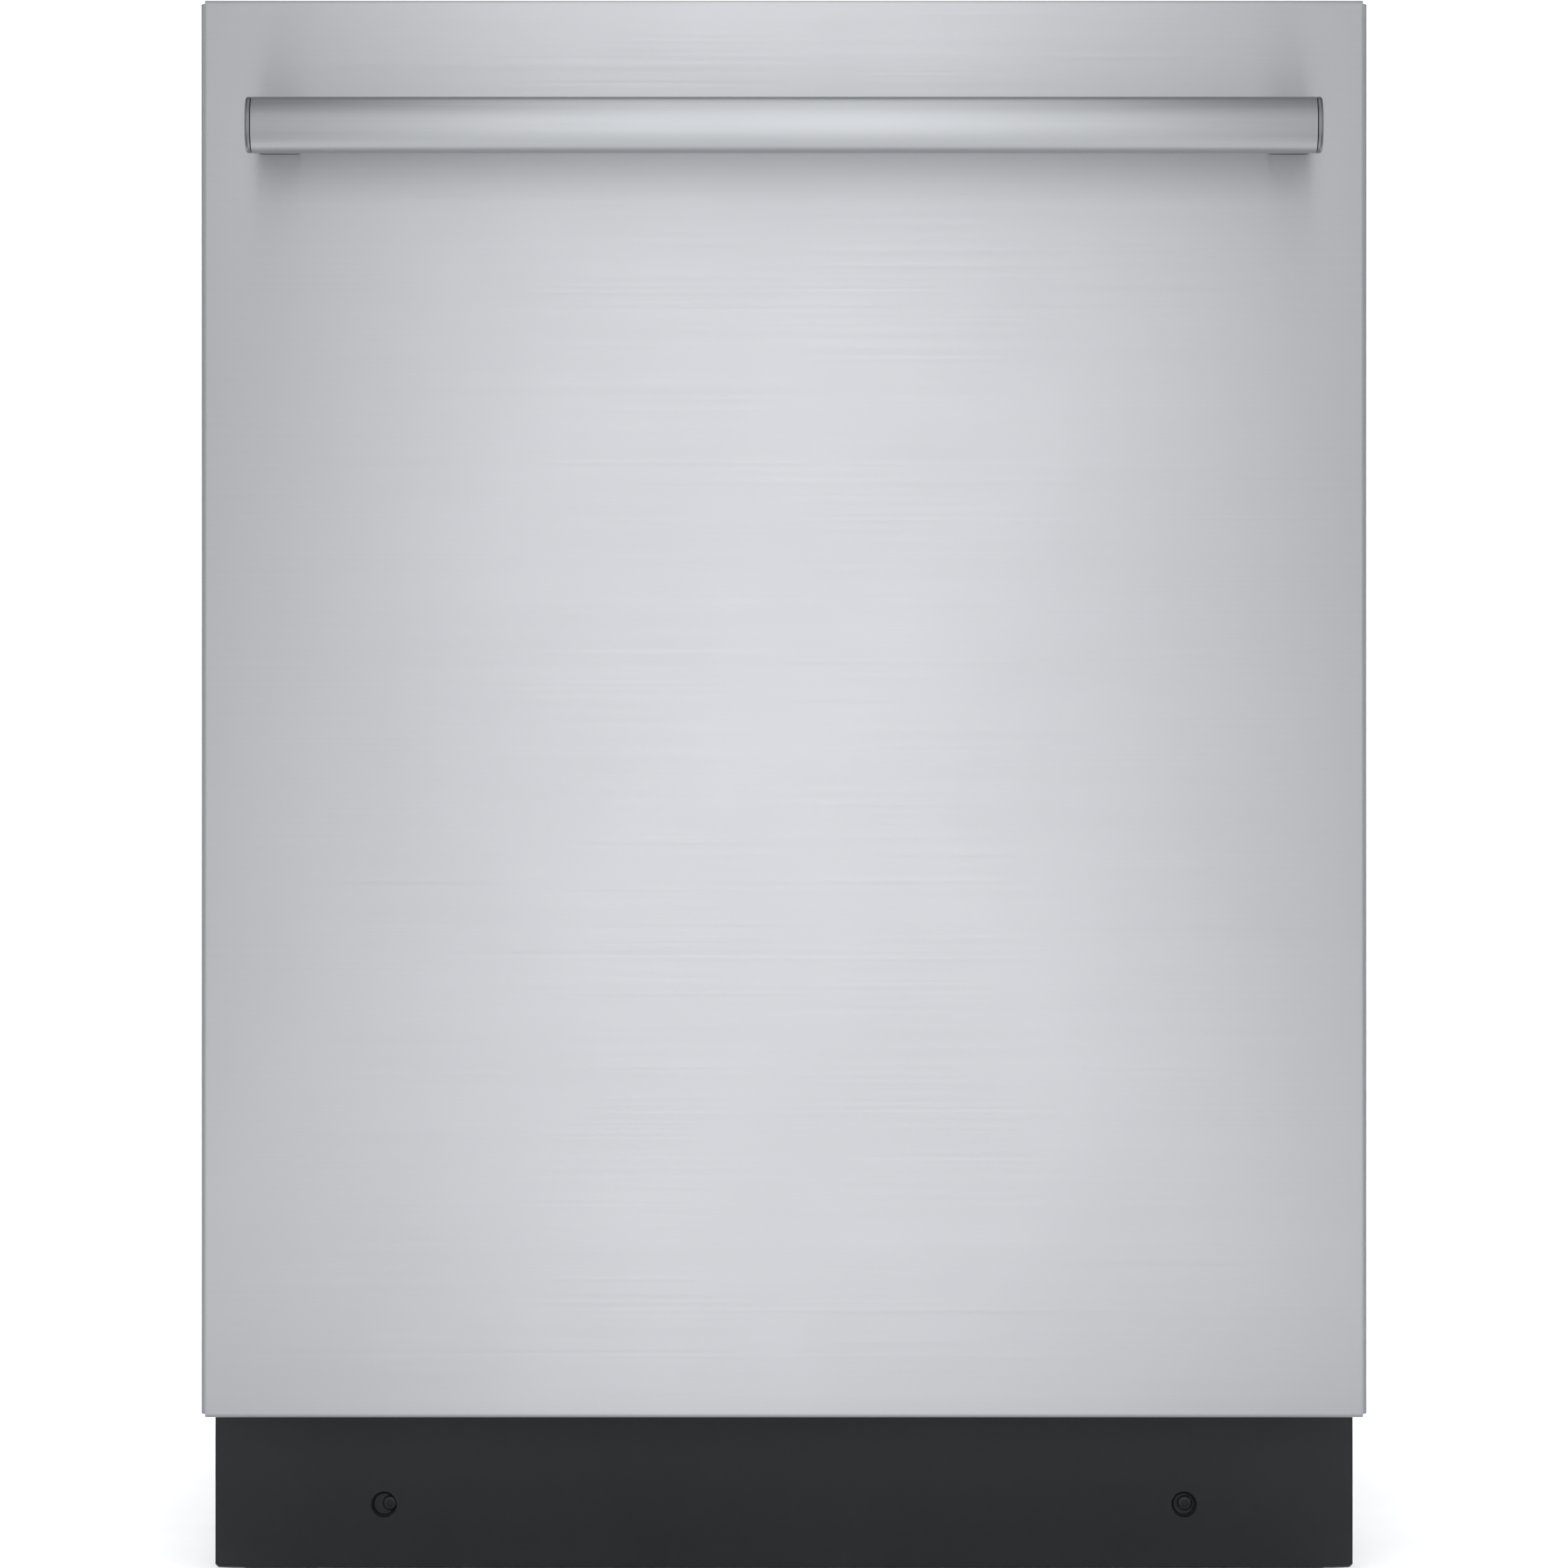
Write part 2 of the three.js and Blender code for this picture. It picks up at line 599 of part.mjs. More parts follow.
function wheel(name, side, y) {
  const tread = rod("x", sided(side, ...WHEEL.x), [0, 0], WHEEL.radius, WHEEL.radius, 20);
  const bore = rod("x", sided(side, WHEEL.x[0] - 1, WHEEL.x[1] + 1), [0, 0], 3.4, 3.4, 8);
  const dish = rod("x", sided(side, WHEEL.x[1] - 2.5, WHEEL.x[1] + 1), [0, 0], 13, 13, 12);
  const hub = rod("x", sided(side, WHEEL.x[1] - 3, WHEEL.x[1]), [0, 0], 6, 6, 8);
  return groupAt(0, y, WHEEL.z, piece(name, cut(join(cut(tread, dish), hub), bore), greyPlastic));
}

const wheels = () => [
  wheel("rack_wheel_front_left", -1, WHEEL.y[0]),
  wheel("rack_wheel_front_right", 1, WHEEL.y[0]),
  wheel("rack_wheel_rear_left", -1, WHEEL.y[1]),
  wheel("rack_wheel_rear_right", 1, WHEEL.y[1]),
];

function silverwareBasket() {
  const x = [128, 232];
  const y = [-190, 40];
  const z = [LOWER.floor + 6, LOWER.floor + 126];
  const shell = push("z", z, roundedBox(x, y, 10), 3);
  const hollow = push("z", [z[0] + 3, z[1] + 1], roundedBox([x[0] + 3, x[1] - 3], [y[0] + 3, y[1] - 3], 7), 3);
  const slots = [];
  for (const place of spread(y[0] + 26, y[1] - 26, 4)) {
    slots.push(slab([x[0] - 1, x[1] + 1], around(place, 16), [z[0] + 16, z[0] + 76]));
  }
  const walls = [-1, 0, 1].map((n) => slab([x[0] + 2, x[1] - 2], around(middle(y) + n * 57, 1.2), [z[0] + 2, z[1] - 6]));
  const grip = cut(
    slab(around(middle(x), 1.6), [middle(y) - 52, middle(y) + 52], [z[0] + 2, z[1] + 34]),
    slab(around(middle(x), 3), [middle(y) - 40, middle(y) + 40], [z[1] + 4, z[1] + 24]),
  );
  return piece("silverware_basket", join(cut(shell, hollow, ...slots), ...walls, grip), greyPlastic);
}

// A rail travels between the rack and the tub. Its section is an H: the rack's rollers run in the inner groove,
// and the rollers on the tub's wall run in the outer one.
function rail(name, side, { x, web, z, y, lip }) {
  const [inner, outer] = x;
  const section = [
    [inner, z[0]],
    [outer, z[0]],
    [outer, z[0] + lip],
    [web[1], z[0] + lip],
    [web[1], z[1] - lip],
    [outer, z[1] - lip],
    [outer, z[1]],
    [inner, z[1]],
    [inner, z[1] - lip],
    [web[0], z[1] - lip],
    [web[0], z[0] + lip],
    [inner, z[0] + lip],
  ];
  const placed = section.map(([u, v]) => [side * u, v]);
  return piece(name, push("y", y, polygon(...(side > 0 ? placed : placed.reverse())), 1), bright);
}

const rollerRadius = ({ z, lip }) => length(z) / 2 - lip - 0.6;

// The bar along a rack's side, with two rollers that stay in the rail's inner groove.
function runners({ half }, of) {
  const { z, web } = of;
  const radius = rollerRadius(of);
  const made = [];
  for (const side of [-1, 1]) {
    made.push(slab(sided(side, half - 3, half + 4), [-204, 256], around(middle(z), 4)));
    for (const y of [150, 240]) {
      made.push(rod("x", sided(side, half, web[0] - 0.8), [y, middle(z)], radius, radius, 12));
    }
  }
  return made;
}

function upperRack() {
  const pipe = [
    slab(around(0, 11), [ARM_CENTRE_Y, UPPER.back + 11], [UPPER.manifold - 6, UPPER.manifold + 8]),
    rod("z", [UPPER.manifold - 24, UPPER.manifold + 8], [0, ARM_CENTRE_Y], 15, 15, 20),
    slab(around(0, 5), [ARM_CENTRE_Y, UPPER.back], [UPPER.manifold + 6, UPPER.floor + 2]),
  ];
  const wires = basket(UPPER, 5, 4);
  return piece("upper_rack", join(wires, ...pipe, ...runners(UPPER, RAIL)), coatedWire);
}

function thirdRack() {
  return piece("third_rack", join(basket(THIRD, 5, 4), ...runners(THIRD, THIRD_RAIL)), coatedWire);
}

// ---------------------------------------------------------------- cabinet round the tub
function sidePanel(side, name) {
  const x = (near, far) => sided(side, near, far);
  const y = [TUB_FRONT, BACK - 1.5];
  const z = [20, BODY_TOP];
  const plate = slab(x(SIDE - SHEET, SIDE), y, z);
  const front = slab(x(FLANGE_HALF + 2, SIDE), [y[0], y[0] + SHEET], [142, z[1]]);
  const bottom = slab(x(SIDE - 15, SIDE), [y[0] + 40, y[1]], [z[0], z[0] + SHEET]);
  const top = slab(x(SIDE - 15, SIDE), y, [z[1] - SHEET, z[1]]);
  return piece("side_panel_" + name, join(plate, front, bottom, top), zinc);
}

function backPanel() {
  const z = [104, BODY_TOP - 2];
  const sheet = slab(around(0, 282), [BACK - SHEET, BACK], z);
  const ribs = spread(-150, 150, 3).map((x) => slab(around(x, 16), [BACK - 5, BACK - SHEET + 0.1], [z[0] + 60, z[1] - 80]));
  const foot = slab(around(0, 282), [TUB_BACK + 4, BACK], [z[0], z[0] + SHEET]);
  return piece("back_panel", join(sheet, ...ribs, foot), zinc);
}

// The front cross bar, with the two tabs that are screwed to the worktop.
function topBar() {
  const y = [TUB_FRONT + SHEET + GAP, TUB_FRONT + 44];
  const tray = cut(
    slab(around(0, 279), y, [788, 808]),
    slab(around(0, 280), [y[0] + SHEET, y[1] - SHEET], [788 + SHEET, 809]),
  );
  const tabs = [-200, 200].map((x) =>
    cut(
      slab(around(x, 16), [y[0] + 4, y[1] - 6], [788, BODY_TOP]),
      slab(around(x, 17), [y[0] + 6, y[1] - 8], [789, BODY_TOP - SHEET]),
      rod("z", [BODY_TOP - 3, BODY_TOP + 1], [x + 8, middle(y)], 2.6, 2.6, 14),
    ),
  );
  return piece("top_bar", join(tray, ...tabs), zinc);
}

const topMat = () =>
  piece(
    "top_damping_mat",
    push("z", [TUB_TOP + GAP, TUB_TOP + 4], roundedBox(around(0, 240), [TUB_FRONT + 60, TUB_BACK - 14], 12), 4),
    bitumen,
  );

// ---------------------------------------------------------------- base
const LEGS = { leg_front_left: [-245, -175], leg_front_right: [245, -175], leg_rear: [0, 276] };
const KICK = { y: FACE + 52, half: 298.5, bottom: 1.9, top: 96, holeX: 210, holeZ: 34.8, pocket: 4.2 };
const BASE_Y = [KICK.y + 14, BACK - 8];

function basePan() {
  const wall = 3;
  const tray = cut(
    slab(around(0, BASE_HALF), BASE_Y, [BASE_BOTTOM, BASE_TOP]),
    slab(around(0, BASE_HALF - wall), [BASE_Y[0] + wall, BASE_Y[1] - wall], [BASE_BOTTOM + wall, BASE_TOP + 1]),
  );
  const bosses = Object.values(LEGS).map((at) => rod("z", [BASE_BOTTOM, 66], at, 13, 12, 14));
  const bores = Object.values(LEGS).map((at) => rod("z", [BASE_BOTTOM - 1, 67], at, 5.6, 5.6, 12));
  const screwPosts = [-1, 1].map((side) =>
    rod("y", [KICK.y + 8, BASE_Y[0] + 1], [side * KICK.holeX, KICK.holeZ], 11, 12, 14),
  );
  const screwHoles = [-1, 1].map((side) =>
    rod("y", [KICK.y + 7, BASE_Y[0] + 12], [side * KICK.holeX + 1.5, KICK.holeZ + 0.4], 4.2, 4.2, 10),
  );
  const drain = rod("y", [BASE_Y[1] - 1, BACK - 0.5], [-190, 50], 11, 11, 16);
  const drainBore = rod("y", [BASE_Y[1] - 5, BACK + 1], [-190, 50], 8, 8, 12);
  const mouth = slab([120, 200], [BASE_Y[1] - 5, BASE_Y[1] + 1], [30, 70]);
  return piece("base_pan", cut(join(tray, ...bosses, ...screwPosts, drain), ...bores, ...screwHoles, drainBore, mouth), darkPlastic);
}

// The toe kick is a folded sheet with a wide hole in front of each screw, and a pocket behind the hole that the
// screw clamps. Its lower corners are clipped, and three shallow lips stand below its edge.
function toeKick() {
  const { half, bottom, top, y } = KICK;
  const clip = 1.7;
  const lip = 0.5;
  const slope = 2;
  const lips = [
    [-282, -246],
    [-171, 171],
    [246, 282],
  ];
  const edge = [[half, bottom + clip], [half, top], [-half, top], [-half, bottom + clip], [-half + clip, bottom]];
  for (const [from, to] of lips) {
    edge.push([from - slope, bottom], [from, bottom - lip], [to, bottom - lip], [to + slope, bottom]);
  }
  edge.push([half - clip, bottom]);
  const sheet = push("y", [y, y + SHEET], polygon(...edge), 1);
  const topFlange = slab(around(0, half - 20), [y, y + 12], [top - SHEET, top]);
  const at = (side) => [side * KICK.holeX, KICK.holeZ];
  const each = (make) => [-1, 1].map(make);
  const pockets = each((side) => rod("y", [y + 0.6, y + KICK.pocket + SHEET], at(side), 10.5, 10.5, 16));
  const hollows = each((side) => rod("y", [y + SHEET, y + KICK.pocket], at(side), 9.3, 9.3, 16));
  const holes = each((side) => rod("y", [y - 1, y + 2], at(side), 6.7, 6.7, 24));
  const slots = each((side) =>
    slab(around(side * KICK.holeX + 1.5, 4), [y + 2, y + 9], around(KICK.holeZ + 0.5, 2.3)),
  );
  return piece("toe_kick", cut(join(sheet, topFlange, ...pockets), ...hollows, ...holes, ...slots), kickPaint);
}

// A star-socket screw whose head sits down in the panel's pocket. The left one was driven off centre.
function toeScrew(name, x) {
  const z = KICK.holeZ + 0.5;
  const head = rod("y", [KICK.y + 1.4, KICK.y + 3.9], [x, z], 3.6, 4, 18);
  const socket = rod("y", [KICK.y + 1, KICK.y + 2.8], [x, z], 2.1, 2.1, 6);
  const shank = rod("y", [KICK.y + 3.8, KICK.y + 22], [x, z], 1.8, 1.8, 8);
  return piece(name, cut(join(head, shank), socket), screwBlack);
}

function leg(name, [x, y]) {
  const foot = rod("z", [0, 7], [0, 0], 18, 18, 20);
  const collar = rod("z", [6.9, 11], [0, 0], 9, 9, 6);
  const stem = rod("z", [10, 60], [0, 0], 5, 5, 12);
  return groupAt(x, y, 0, piece(name, join(foot, collar, stem), darkPlastic));
}

// The sump closes the tub's floor from below: a deck, the filter's well and the spindle of the lower arm.
function sump() {
  const deck = rod("z", [TUB_FLOOR - SHEET - 4, TUB_FLOOR - SHEET - GAP], [0, SUMP_Y], 122, 122, 24);
  const bowl = rod("z", [56, TUB_FLOOR - 4], [0, FILTER_Y + 8], 48, 56, 20);
  const well = rod("z", [70, TUB_FLOOR + 1], [0, FILTER_Y], 39, 39, 20);
  const neck = rod("z", [60, 145], [0, ARM_CENTRE_Y], 16, 16, 16);
  const spindle = rod("z", [144, 158], [0, ARM_CENTRE_Y], 9, 9, 14);
  const volute = rod("z", [40, TUB_FLOOR - 4], [0, ARM_CENTRE_Y], 38, 38, 18);
  const body = cut(join(deck, bowl, volute), well);
  return piece("sump", join(body, neck, spindle), darkPlastic);
}

function circulationPump() {
  const z = 66;
  const y = ARM_CENTRE_Y + 30;
  const motor = rod("x", [72, 150], [y, z], 34, 34, 18);
  const endBell = rod("x", [149, 158], [y, z], 34, 26, 18);
  const flange = rod("x", [66, 73], [y, z], 37, 37, 18);
  const bell = rod("x", [42, 67], [y, z], 24, 34, 18);
  const plug = slab([100, 124], [y - 12, y + 12], [z - 46, z - 30]);
  return piece("circulation_pump", join(motor, endBell, flange, bell, plug), motorCase);
}

function drainPump() {
  const z = 60;
  const housing = rod("x", [-92, -62], [FILTER_Y, z], 26, 26, 16);
  const coil = slab([-128, -91], around(FILTER_Y, 20), [z - 20, z + 20]);
  const outlet = rod("y", [FILTER_Y + 10, FILTER_Y + 60], [-77, z + 12], 8, 8, 16);
  return piece("drain_pump", join(housing, coil, outlet), motorCase);
}

function inletValve() {
  const body = slab([134, 186], [BACK - 62, BACK - 22], [36, 66]);
  const coil = rod("z", [65, 92], [160, BACK - 44], 14, 14, 20);
  const nipple = rod("y", [BACK - 23, BACK - 1], [160, 50], 10, 10, 20);
  const bore = rod("y", [BACK - 14, BACK], [160, 50], 6.5, 6.5, 16);
  return piece("inlet_valve", cut(join(body, coil, nipple), bore), palePlastic);
}

function junctionBox() {
  const x = [170, 262];
  const y = [-150, -80];
  const box = slab(x, y, [BASE_BOTTOM + 4, 76]);
  const cover = slab([x[0] - 3, x[1] + 3], [y[0] - 3, y[1] + 3], [75.9, 79]);
  const gland = rod("y", [y[1] - 1, y[1] + 18], [middle(x), 46], 12, 10, 18);
  return piece("junction_box", join(box, cover, gland), zinc);
}

// ---------------------------------------------------------------- the whole machine
const dishwasher = new THREE.Group();
dishwasher.add(
  door(),
  groupAt(
    0,
    PIVOT_Y,
    PIVOT_Z,
    ...onBothSides(hingeBracket),
    ...onBothSides(doorSpring),
    ...onBothSides(springHook),
  ),
  tub(),
  tubGasket(),
  doorStrike(),
  feedPipe(),
  filterPlate(),
  filterCylinder(),
  sprayArm("lower_spray_arm", 228, 152, 10.5, [147, 160]),
  lowerRack(),
  ...wheels(),
  silverwareBasket(),
  rail("upper_rail_left", -1, RAIL),
  rail("upper_rail_right", 1, RAIL),
  upperRack(),
  sprayArm("upper_spray_arm", 200, 398, 16.5, [400, 413]),
  rail("third_rail_left", -1, THIRD_RAIL),
  rail("third_rail_right", 1, THIRD_RAIL),
  thirdRack(),
  ...onBothSides(sidePanel),
  backPanel(),
  topBar(),
  topMat(),
  basePan(),
  toeKick(),
  toeScrew("toe_screw_left", -KICK.holeX + 3.2),
  toeScrew("toe_screw_right", KICK.holeX + 0.5),
  ...Object.entries(LEGS).map(([name, at]) => leg(name, at)),
  sump(),
  circulationPump(),
  drainPump(),
  inletValve(),
  junctionBox(),
);

export default dishwasher;
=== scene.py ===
# %% [markdown]
# # A built-in dishwasher
# The machine is a steel box on three legs with a heavy door in front of it. The door is a folded stainless sheet
# with a bar handle, and it hangs on two pins at its foot. This lesson dresses a finished mechanical frame: every
# piece made here rides on one of the frame's bodies, so the door can open and the racks can roll out.
# The frame is loaded first, because every size in the lesson is read from it.

# %% Load the frame
import json
import math

import bmesh
import bpy
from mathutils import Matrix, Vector


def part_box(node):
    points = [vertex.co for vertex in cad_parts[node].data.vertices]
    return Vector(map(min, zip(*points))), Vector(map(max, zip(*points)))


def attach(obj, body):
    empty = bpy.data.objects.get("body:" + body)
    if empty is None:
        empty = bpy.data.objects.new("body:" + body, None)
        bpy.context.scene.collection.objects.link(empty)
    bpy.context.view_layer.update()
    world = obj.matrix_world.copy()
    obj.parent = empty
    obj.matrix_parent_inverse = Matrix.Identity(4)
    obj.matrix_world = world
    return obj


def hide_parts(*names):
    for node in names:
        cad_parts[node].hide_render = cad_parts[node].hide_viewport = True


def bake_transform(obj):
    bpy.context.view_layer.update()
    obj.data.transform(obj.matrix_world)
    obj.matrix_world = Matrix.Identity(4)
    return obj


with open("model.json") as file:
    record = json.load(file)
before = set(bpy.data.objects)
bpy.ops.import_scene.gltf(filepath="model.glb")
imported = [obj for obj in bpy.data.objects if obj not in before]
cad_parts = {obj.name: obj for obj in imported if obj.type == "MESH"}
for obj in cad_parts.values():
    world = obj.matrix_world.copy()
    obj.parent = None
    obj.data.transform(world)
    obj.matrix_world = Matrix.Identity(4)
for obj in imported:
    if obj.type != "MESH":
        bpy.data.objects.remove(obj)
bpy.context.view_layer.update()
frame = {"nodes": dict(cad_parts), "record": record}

# %% [markdown]
# ## A camera that looks straight at the door
# A front view of an appliance is taken from far away with a long lens, so its sides stay almost hidden.
# The lens is worked out from the width that should fill the picture at the door's face.

# %% Camera
MM = 0.001
SENSOR = 36.0
CAMERA_DISTANCE = 2.2
VIEW_WIDTH = 0.804
door_low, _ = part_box("door_skin")
FACE = door_low.y / MM
lens_data = bpy.data.cameras.new("front_camera")
lens_data.sensor_width = SENSOR
lens_data.lens = SENSOR * CAMERA_DISTANCE / VIEW_WIDTH
front_camera = bpy.data.objects.new("front_camera", lens_data)
front_camera.location = (0, door_low.y - CAMERA_DISTANCE, 0.413)
front_camera.rotation_euler = (math.radians(90), 0, 0)
bpy.context.scene.collection.objects.link(front_camera)
bpy.context.scene.camera = front_camera
print("lens:", round(lens_data.lens, 1), "mm, door face at", round(FACE, 1), "mm")

# %% [markdown]
# ## Small tools for making pieces
# Every piece is a mesh made from points, usually as a loft: a row of rings with faces between them. Lofts suit
# folded sheet, bars and lathe work alike, and they give clean quads that a bevel can round. The frame's record
# says which body and which finish each node has, so a piece that stands for a node gets both from there.

# %% Points and faces
record = frame["record"]
BODY_OF = {node: body for body, nodes in record["behaviour"]["bodies"].items() for node in nodes}
SLOT_OF = {part["node"]: part["material_slot"] for part in record["subparts"]}
FINISHES = {}
SIDE_NAME = {-1: "left", 1: "right"}


def shape(name, points, faces):
    """A mesh object from points in millimetres, with its faces turned outwards."""
    mesh = bpy.data.meshes.new(name)
    mesh.from_pydata([[c * MM for c in point] for point in points], [], faces)
    work = bmesh.new()
    work.from_mesh(mesh)
    bmesh.ops.remove_doubles(work, verts=work.verts, dist=1e-6)
    bmesh.ops.recalc_face_normals(work, faces=work.faces)
    work.to_mesh(mesh)
    work.free()
    made = bpy.data.objects.new(name, mesh)
    bpy.context.scene.collection.objects.link(made)
    return made


def span(node):
    """A node's box in millimetres: (low, high) along x, y and z."""
    low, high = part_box(node)
    return [(low[i] / MM, high[i] / MM) for i in range(3)]


def mid(pair):
    return (pair[0] + pair[1]) / 2


def grown(pair, by):
    """A range made wider at both ends, or narrower where by is negative."""
    return (pair[0] - by, pair[1] + by)


def squarish(value, power):
    """A sine or cosine bent towards a square: power 1 keeps the circle, and less makes it squarer."""
    return math.copysign(abs(value) ** power, value)


def sided(side, near, far):
    """Two places given for the right side, low one first, for side 1 (right) or -1 (left)."""
    return sorted((side * near, side * far))


def spread(low, high, count):
    return [low + (high - low) * n / (count - 1) for n in range(count)]


def circle(count, radius, centre=(0.0, 0.0)):
    """Points evenly round a circle."""
    angles = [math.tau * k / count for k in range(count)]
    return [(centre[0] + radius * math.cos(a), centre[1] + radius * math.sin(a)) for a in angles]


def baked(made):
    """Applies an object's modifiers, or turns a curve into a mesh, and returns the object."""
    bpy.context.view_layer.update()
    live = made.evaluated_get(bpy.context.evaluated_depsgraph_get())
    mesh = bpy.data.meshes.new_from_object(live)
    if made.type == "CURVE":
        name = made.name
        bpy.data.objects.remove(made)
        made = bpy.data.objects.new(name, mesh)
        bpy.context.scene.collection.objects.link(made)
        return made
    made.modifiers.clear()
    made.data = mesh
    return made


def smooth(made, angle=40):
    """Smooth shading with sharp edges where faces meet at more than this angle."""
    for face in made.data.polygons:
        face.use_smooth = True
    made.data.set_sharp_from_angle(angle=math.radians(angle))
    return made


def rounded_edges(made, width, segments=2, angle=35):
    """Breaks every hard edge with a small round, as on any real piece. width is in millimetres."""
    bevel = made.modifiers.new("rounded_edges", "BEVEL")
    bevel.width = width * MM
    bevel.segments = segments
    bevel.limit_method = "ANGLE"
    bevel.angle_limit = math.radians(angle)
    bevel.harden_normals = True
    bevel.use_clamp_overlap = True
    return smooth(made, 60)


def thicken(made, thickness, offset=-1.0):
    """Gives an open sheet its thickness in millimetres. offset -1 grows it behind the faces."""
    sheet = made.modifiers.new("sheet_thickness", "SOLIDIFY")
    sheet.thickness = thickness * MM
    sheet.offset = offset
    sheet.use_even_offset = True
    return made


# %% Placing pieces on the frame
def finish_with(made, slot):
    made.data.materials.clear()
    made.data.materials.append(FINISHES[slot])
    return made


def stands_for(made, *nodes):
    """The piece takes the place of these nodes, on their body and in their finish."""
    finish_with(made, SLOT_OF[nodes[0]])
    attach(made, BODY_OF[nodes[0]])
    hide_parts(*nodes)
    return made


def goes_with(made, node, slot=None):
    """An extra piece that moves with a node."""
    finish_with(made, slot or SLOT_OF[node])
    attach(made, BODY_OF[node])
    return made


# %% Lofts, plates and lathe work
def ring_faces(rings, count, around=True, leave=None):
    """Quads between rings of count points. leave(ring, place) is true where a cell stays open."""
    faces = []
    for row in range(rings - 1):
        for k in range(count if around else count - 1):
            if leave is None or not leave(row, k):
                a, b = row * count + k, row * count + (k + 1) % count
                faces.append((a, b, b + count, a + count))
    return faces


def grid_faces(columns, rows, leave=None):
    """Quads of a flat grid, whose points run up one column after another."""
    faces = []
    for i in range(columns - 1):
        for j in range(rows - 1):
            if leave is None or not leave(i, j):
                a = i * rows + j
                faces.append((a, a + rows, a + rows + 1, a + 1))
    return faces


def loft(name, rings, caps=True, around=True):
    """Faces between rings of points. caps close both ends, around closes each ring."""
    count = len(rings[0])
    points = [point for ring in rings for point in ring]
    faces = ring_faces(len(rings), count, around)
    if caps:
        faces.append(tuple(range(count)))
        faces.append(tuple(range(len(points) - count, len(points))))
    return shape(name, points, faces)


def along(axis, at, u, v):
    """A point from a place on an axis and two coordinates across it."""
    if axis == "x":
        return (at, u, v)
    if axis == "y":
        return (u, at, v)
    return (u, v, at)


def turned(name, axis, centre, profile, sides=40, caps=True):
    """Lathe work: profile is a list of (place on the axis, radius)."""
    rings = [[along(axis, at, u, v) for u, v in circle(sides, radius, centre)] for at, radius in profile]
    return loft(name, rings, caps)


def rounded_rectangle(u, v, radius, steps=6):
    """Outline points, anticlockwise, of a rectangle with round corners."""
    corners = [(u[1], v[0], -90), (u[1], v[1], 0), (u[0], v[1], 90), (u[0], v[0], 180)]
    outline = []
    for cu, cv, start in corners:
        inset_u = cu - radius if cu == u[1] else cu + radius
        inset_v = cv - radius if cv == v[1] else cv + radius
        for k in range(steps + 1):
            angle = math.radians(start + 90 * k / steps)
            outline.append((inset_u + radius * math.cos(angle), inset_v + radius * math.sin(angle)))
    return outline


def plate(name, axis, reach, outline, edge=0.3):
    """A flat outline pushed along an axis, with softened edges."""
    made = loft(name, [[along(axis, at, u, v) for u, v in outline] for at in reach])
    return rounded_edges(made, edge) if edge else made


def box_outline(u, v):
    return [(u[0], v[0]), (u[1], v[0]), (u[1], v[1]), (u[0], v[1])]


def block(name, x, y, z, edge=0.5, radius=None):
    """A box with softened edges, or with round upright corners where a radius is given."""
    return plate(name, "z", z, rounded_rectangle(x, y, radius) if radius else box_outline(x, y), edge)


def merged(name, *pieces):
    """Several meshes as one object, modifiers applied."""
    work = bmesh.new()
    for made in pieces:
        made = baked(made)
        work.from_mesh(made.data)
        bpy.data.objects.remove(made)
    mesh = bpy.data.meshes.new(name)
    work.to_mesh(mesh)
    work.free()
    made = bpy.data.objects.new(name, mesh)
    bpy.context.scene.collection.objects.link(made)
    return smooth(made, 60)


def cut_out(made, *cutters):
    """Cuts tools out of a piece and throws the tools away."""
    for cutter in cutters:
        boolean = made.modifiers.new("cut", "BOOLEAN")
        boolean.operation = "DIFFERENCE"
        boolean.solver = "EXACT"
        boolean.object = cutter
    made = baked(made)
    for cutter in cutters:
        bpy.data.objects.remove(cutter)
    return made


def swung(made, axis, angle, centre):
    """Turns a piece about the x or z axis, then moves it to a centre given across that axis."""
    first, second = (1, 2) if axis == "x" else (0, 1)
    for vertex in made.data.vertices:
        u, v = vertex.co[first], vertex.co[second]
        vertex.co[first] = u * math.cos(angle) - v * math.sin(angle) + centre[0] * MM
        vertex.co[second] = u * math.sin(angle) + v * math.cos(angle) + centre[1] * MM
    return made


# %% Wire
def bent(points, radius, steps=5, closed=False):
    """A path whose corners are rounded, as a wire bender leaves them."""
    path = []
    count = len(points)
    for n, point in enumerate(points):
        here = Vector(point)
        if not closed and n in (0, count - 1):
            path.append(here)
            continue
        before = Vector(points[(n - 1) % count]) - here
        after = Vector(points[(n + 1) % count]) - here
        reach = min(radius, before.length * 0.45, after.length * 0.45)
        a = here + before.normalized() * reach
        b = here + after.normalized() * reach
        for k in range(steps + 1):
            t = k / steps
            path.append(a * (1 - t) ** 2 + here * (2 * t * (1 - t)) + b * t**2)
    return path


def wires(name, paths, diameter, closed=False, sides=3):
    """Round wire along several paths, as one mesh."""
    curve = bpy.data.curves.new(name, "CURVE")
    curve.dimensions = "3D"
    curve.bevel_depth = diameter / 2 * MM
    curve.bevel_resolution = sides
    curve.use_fill_caps = True
    for path in paths:
        line = curve.splines.new("POLY")
        line.points.add(len(path) - 1)
        for point, place in zip(line.points, path):
            point.co = (place[0] * MM, place[1] * MM, place[2] * MM, 1)
        line.use_cyclic_u = closed
    made = bpy.data.objects.new(name, curve)
    bpy.context.scene.collection.objects.link(made)
    return smooth(baked(made), 50)


# %% [markdown]
# ## Shared effects
# Brushed steel, moulded plastic and painted sheet look real because of small changes over their surface. Each
# effect is a node group, so that every material can use it with its own values. A group gives masks and heights
# only; the shader stays in the material.

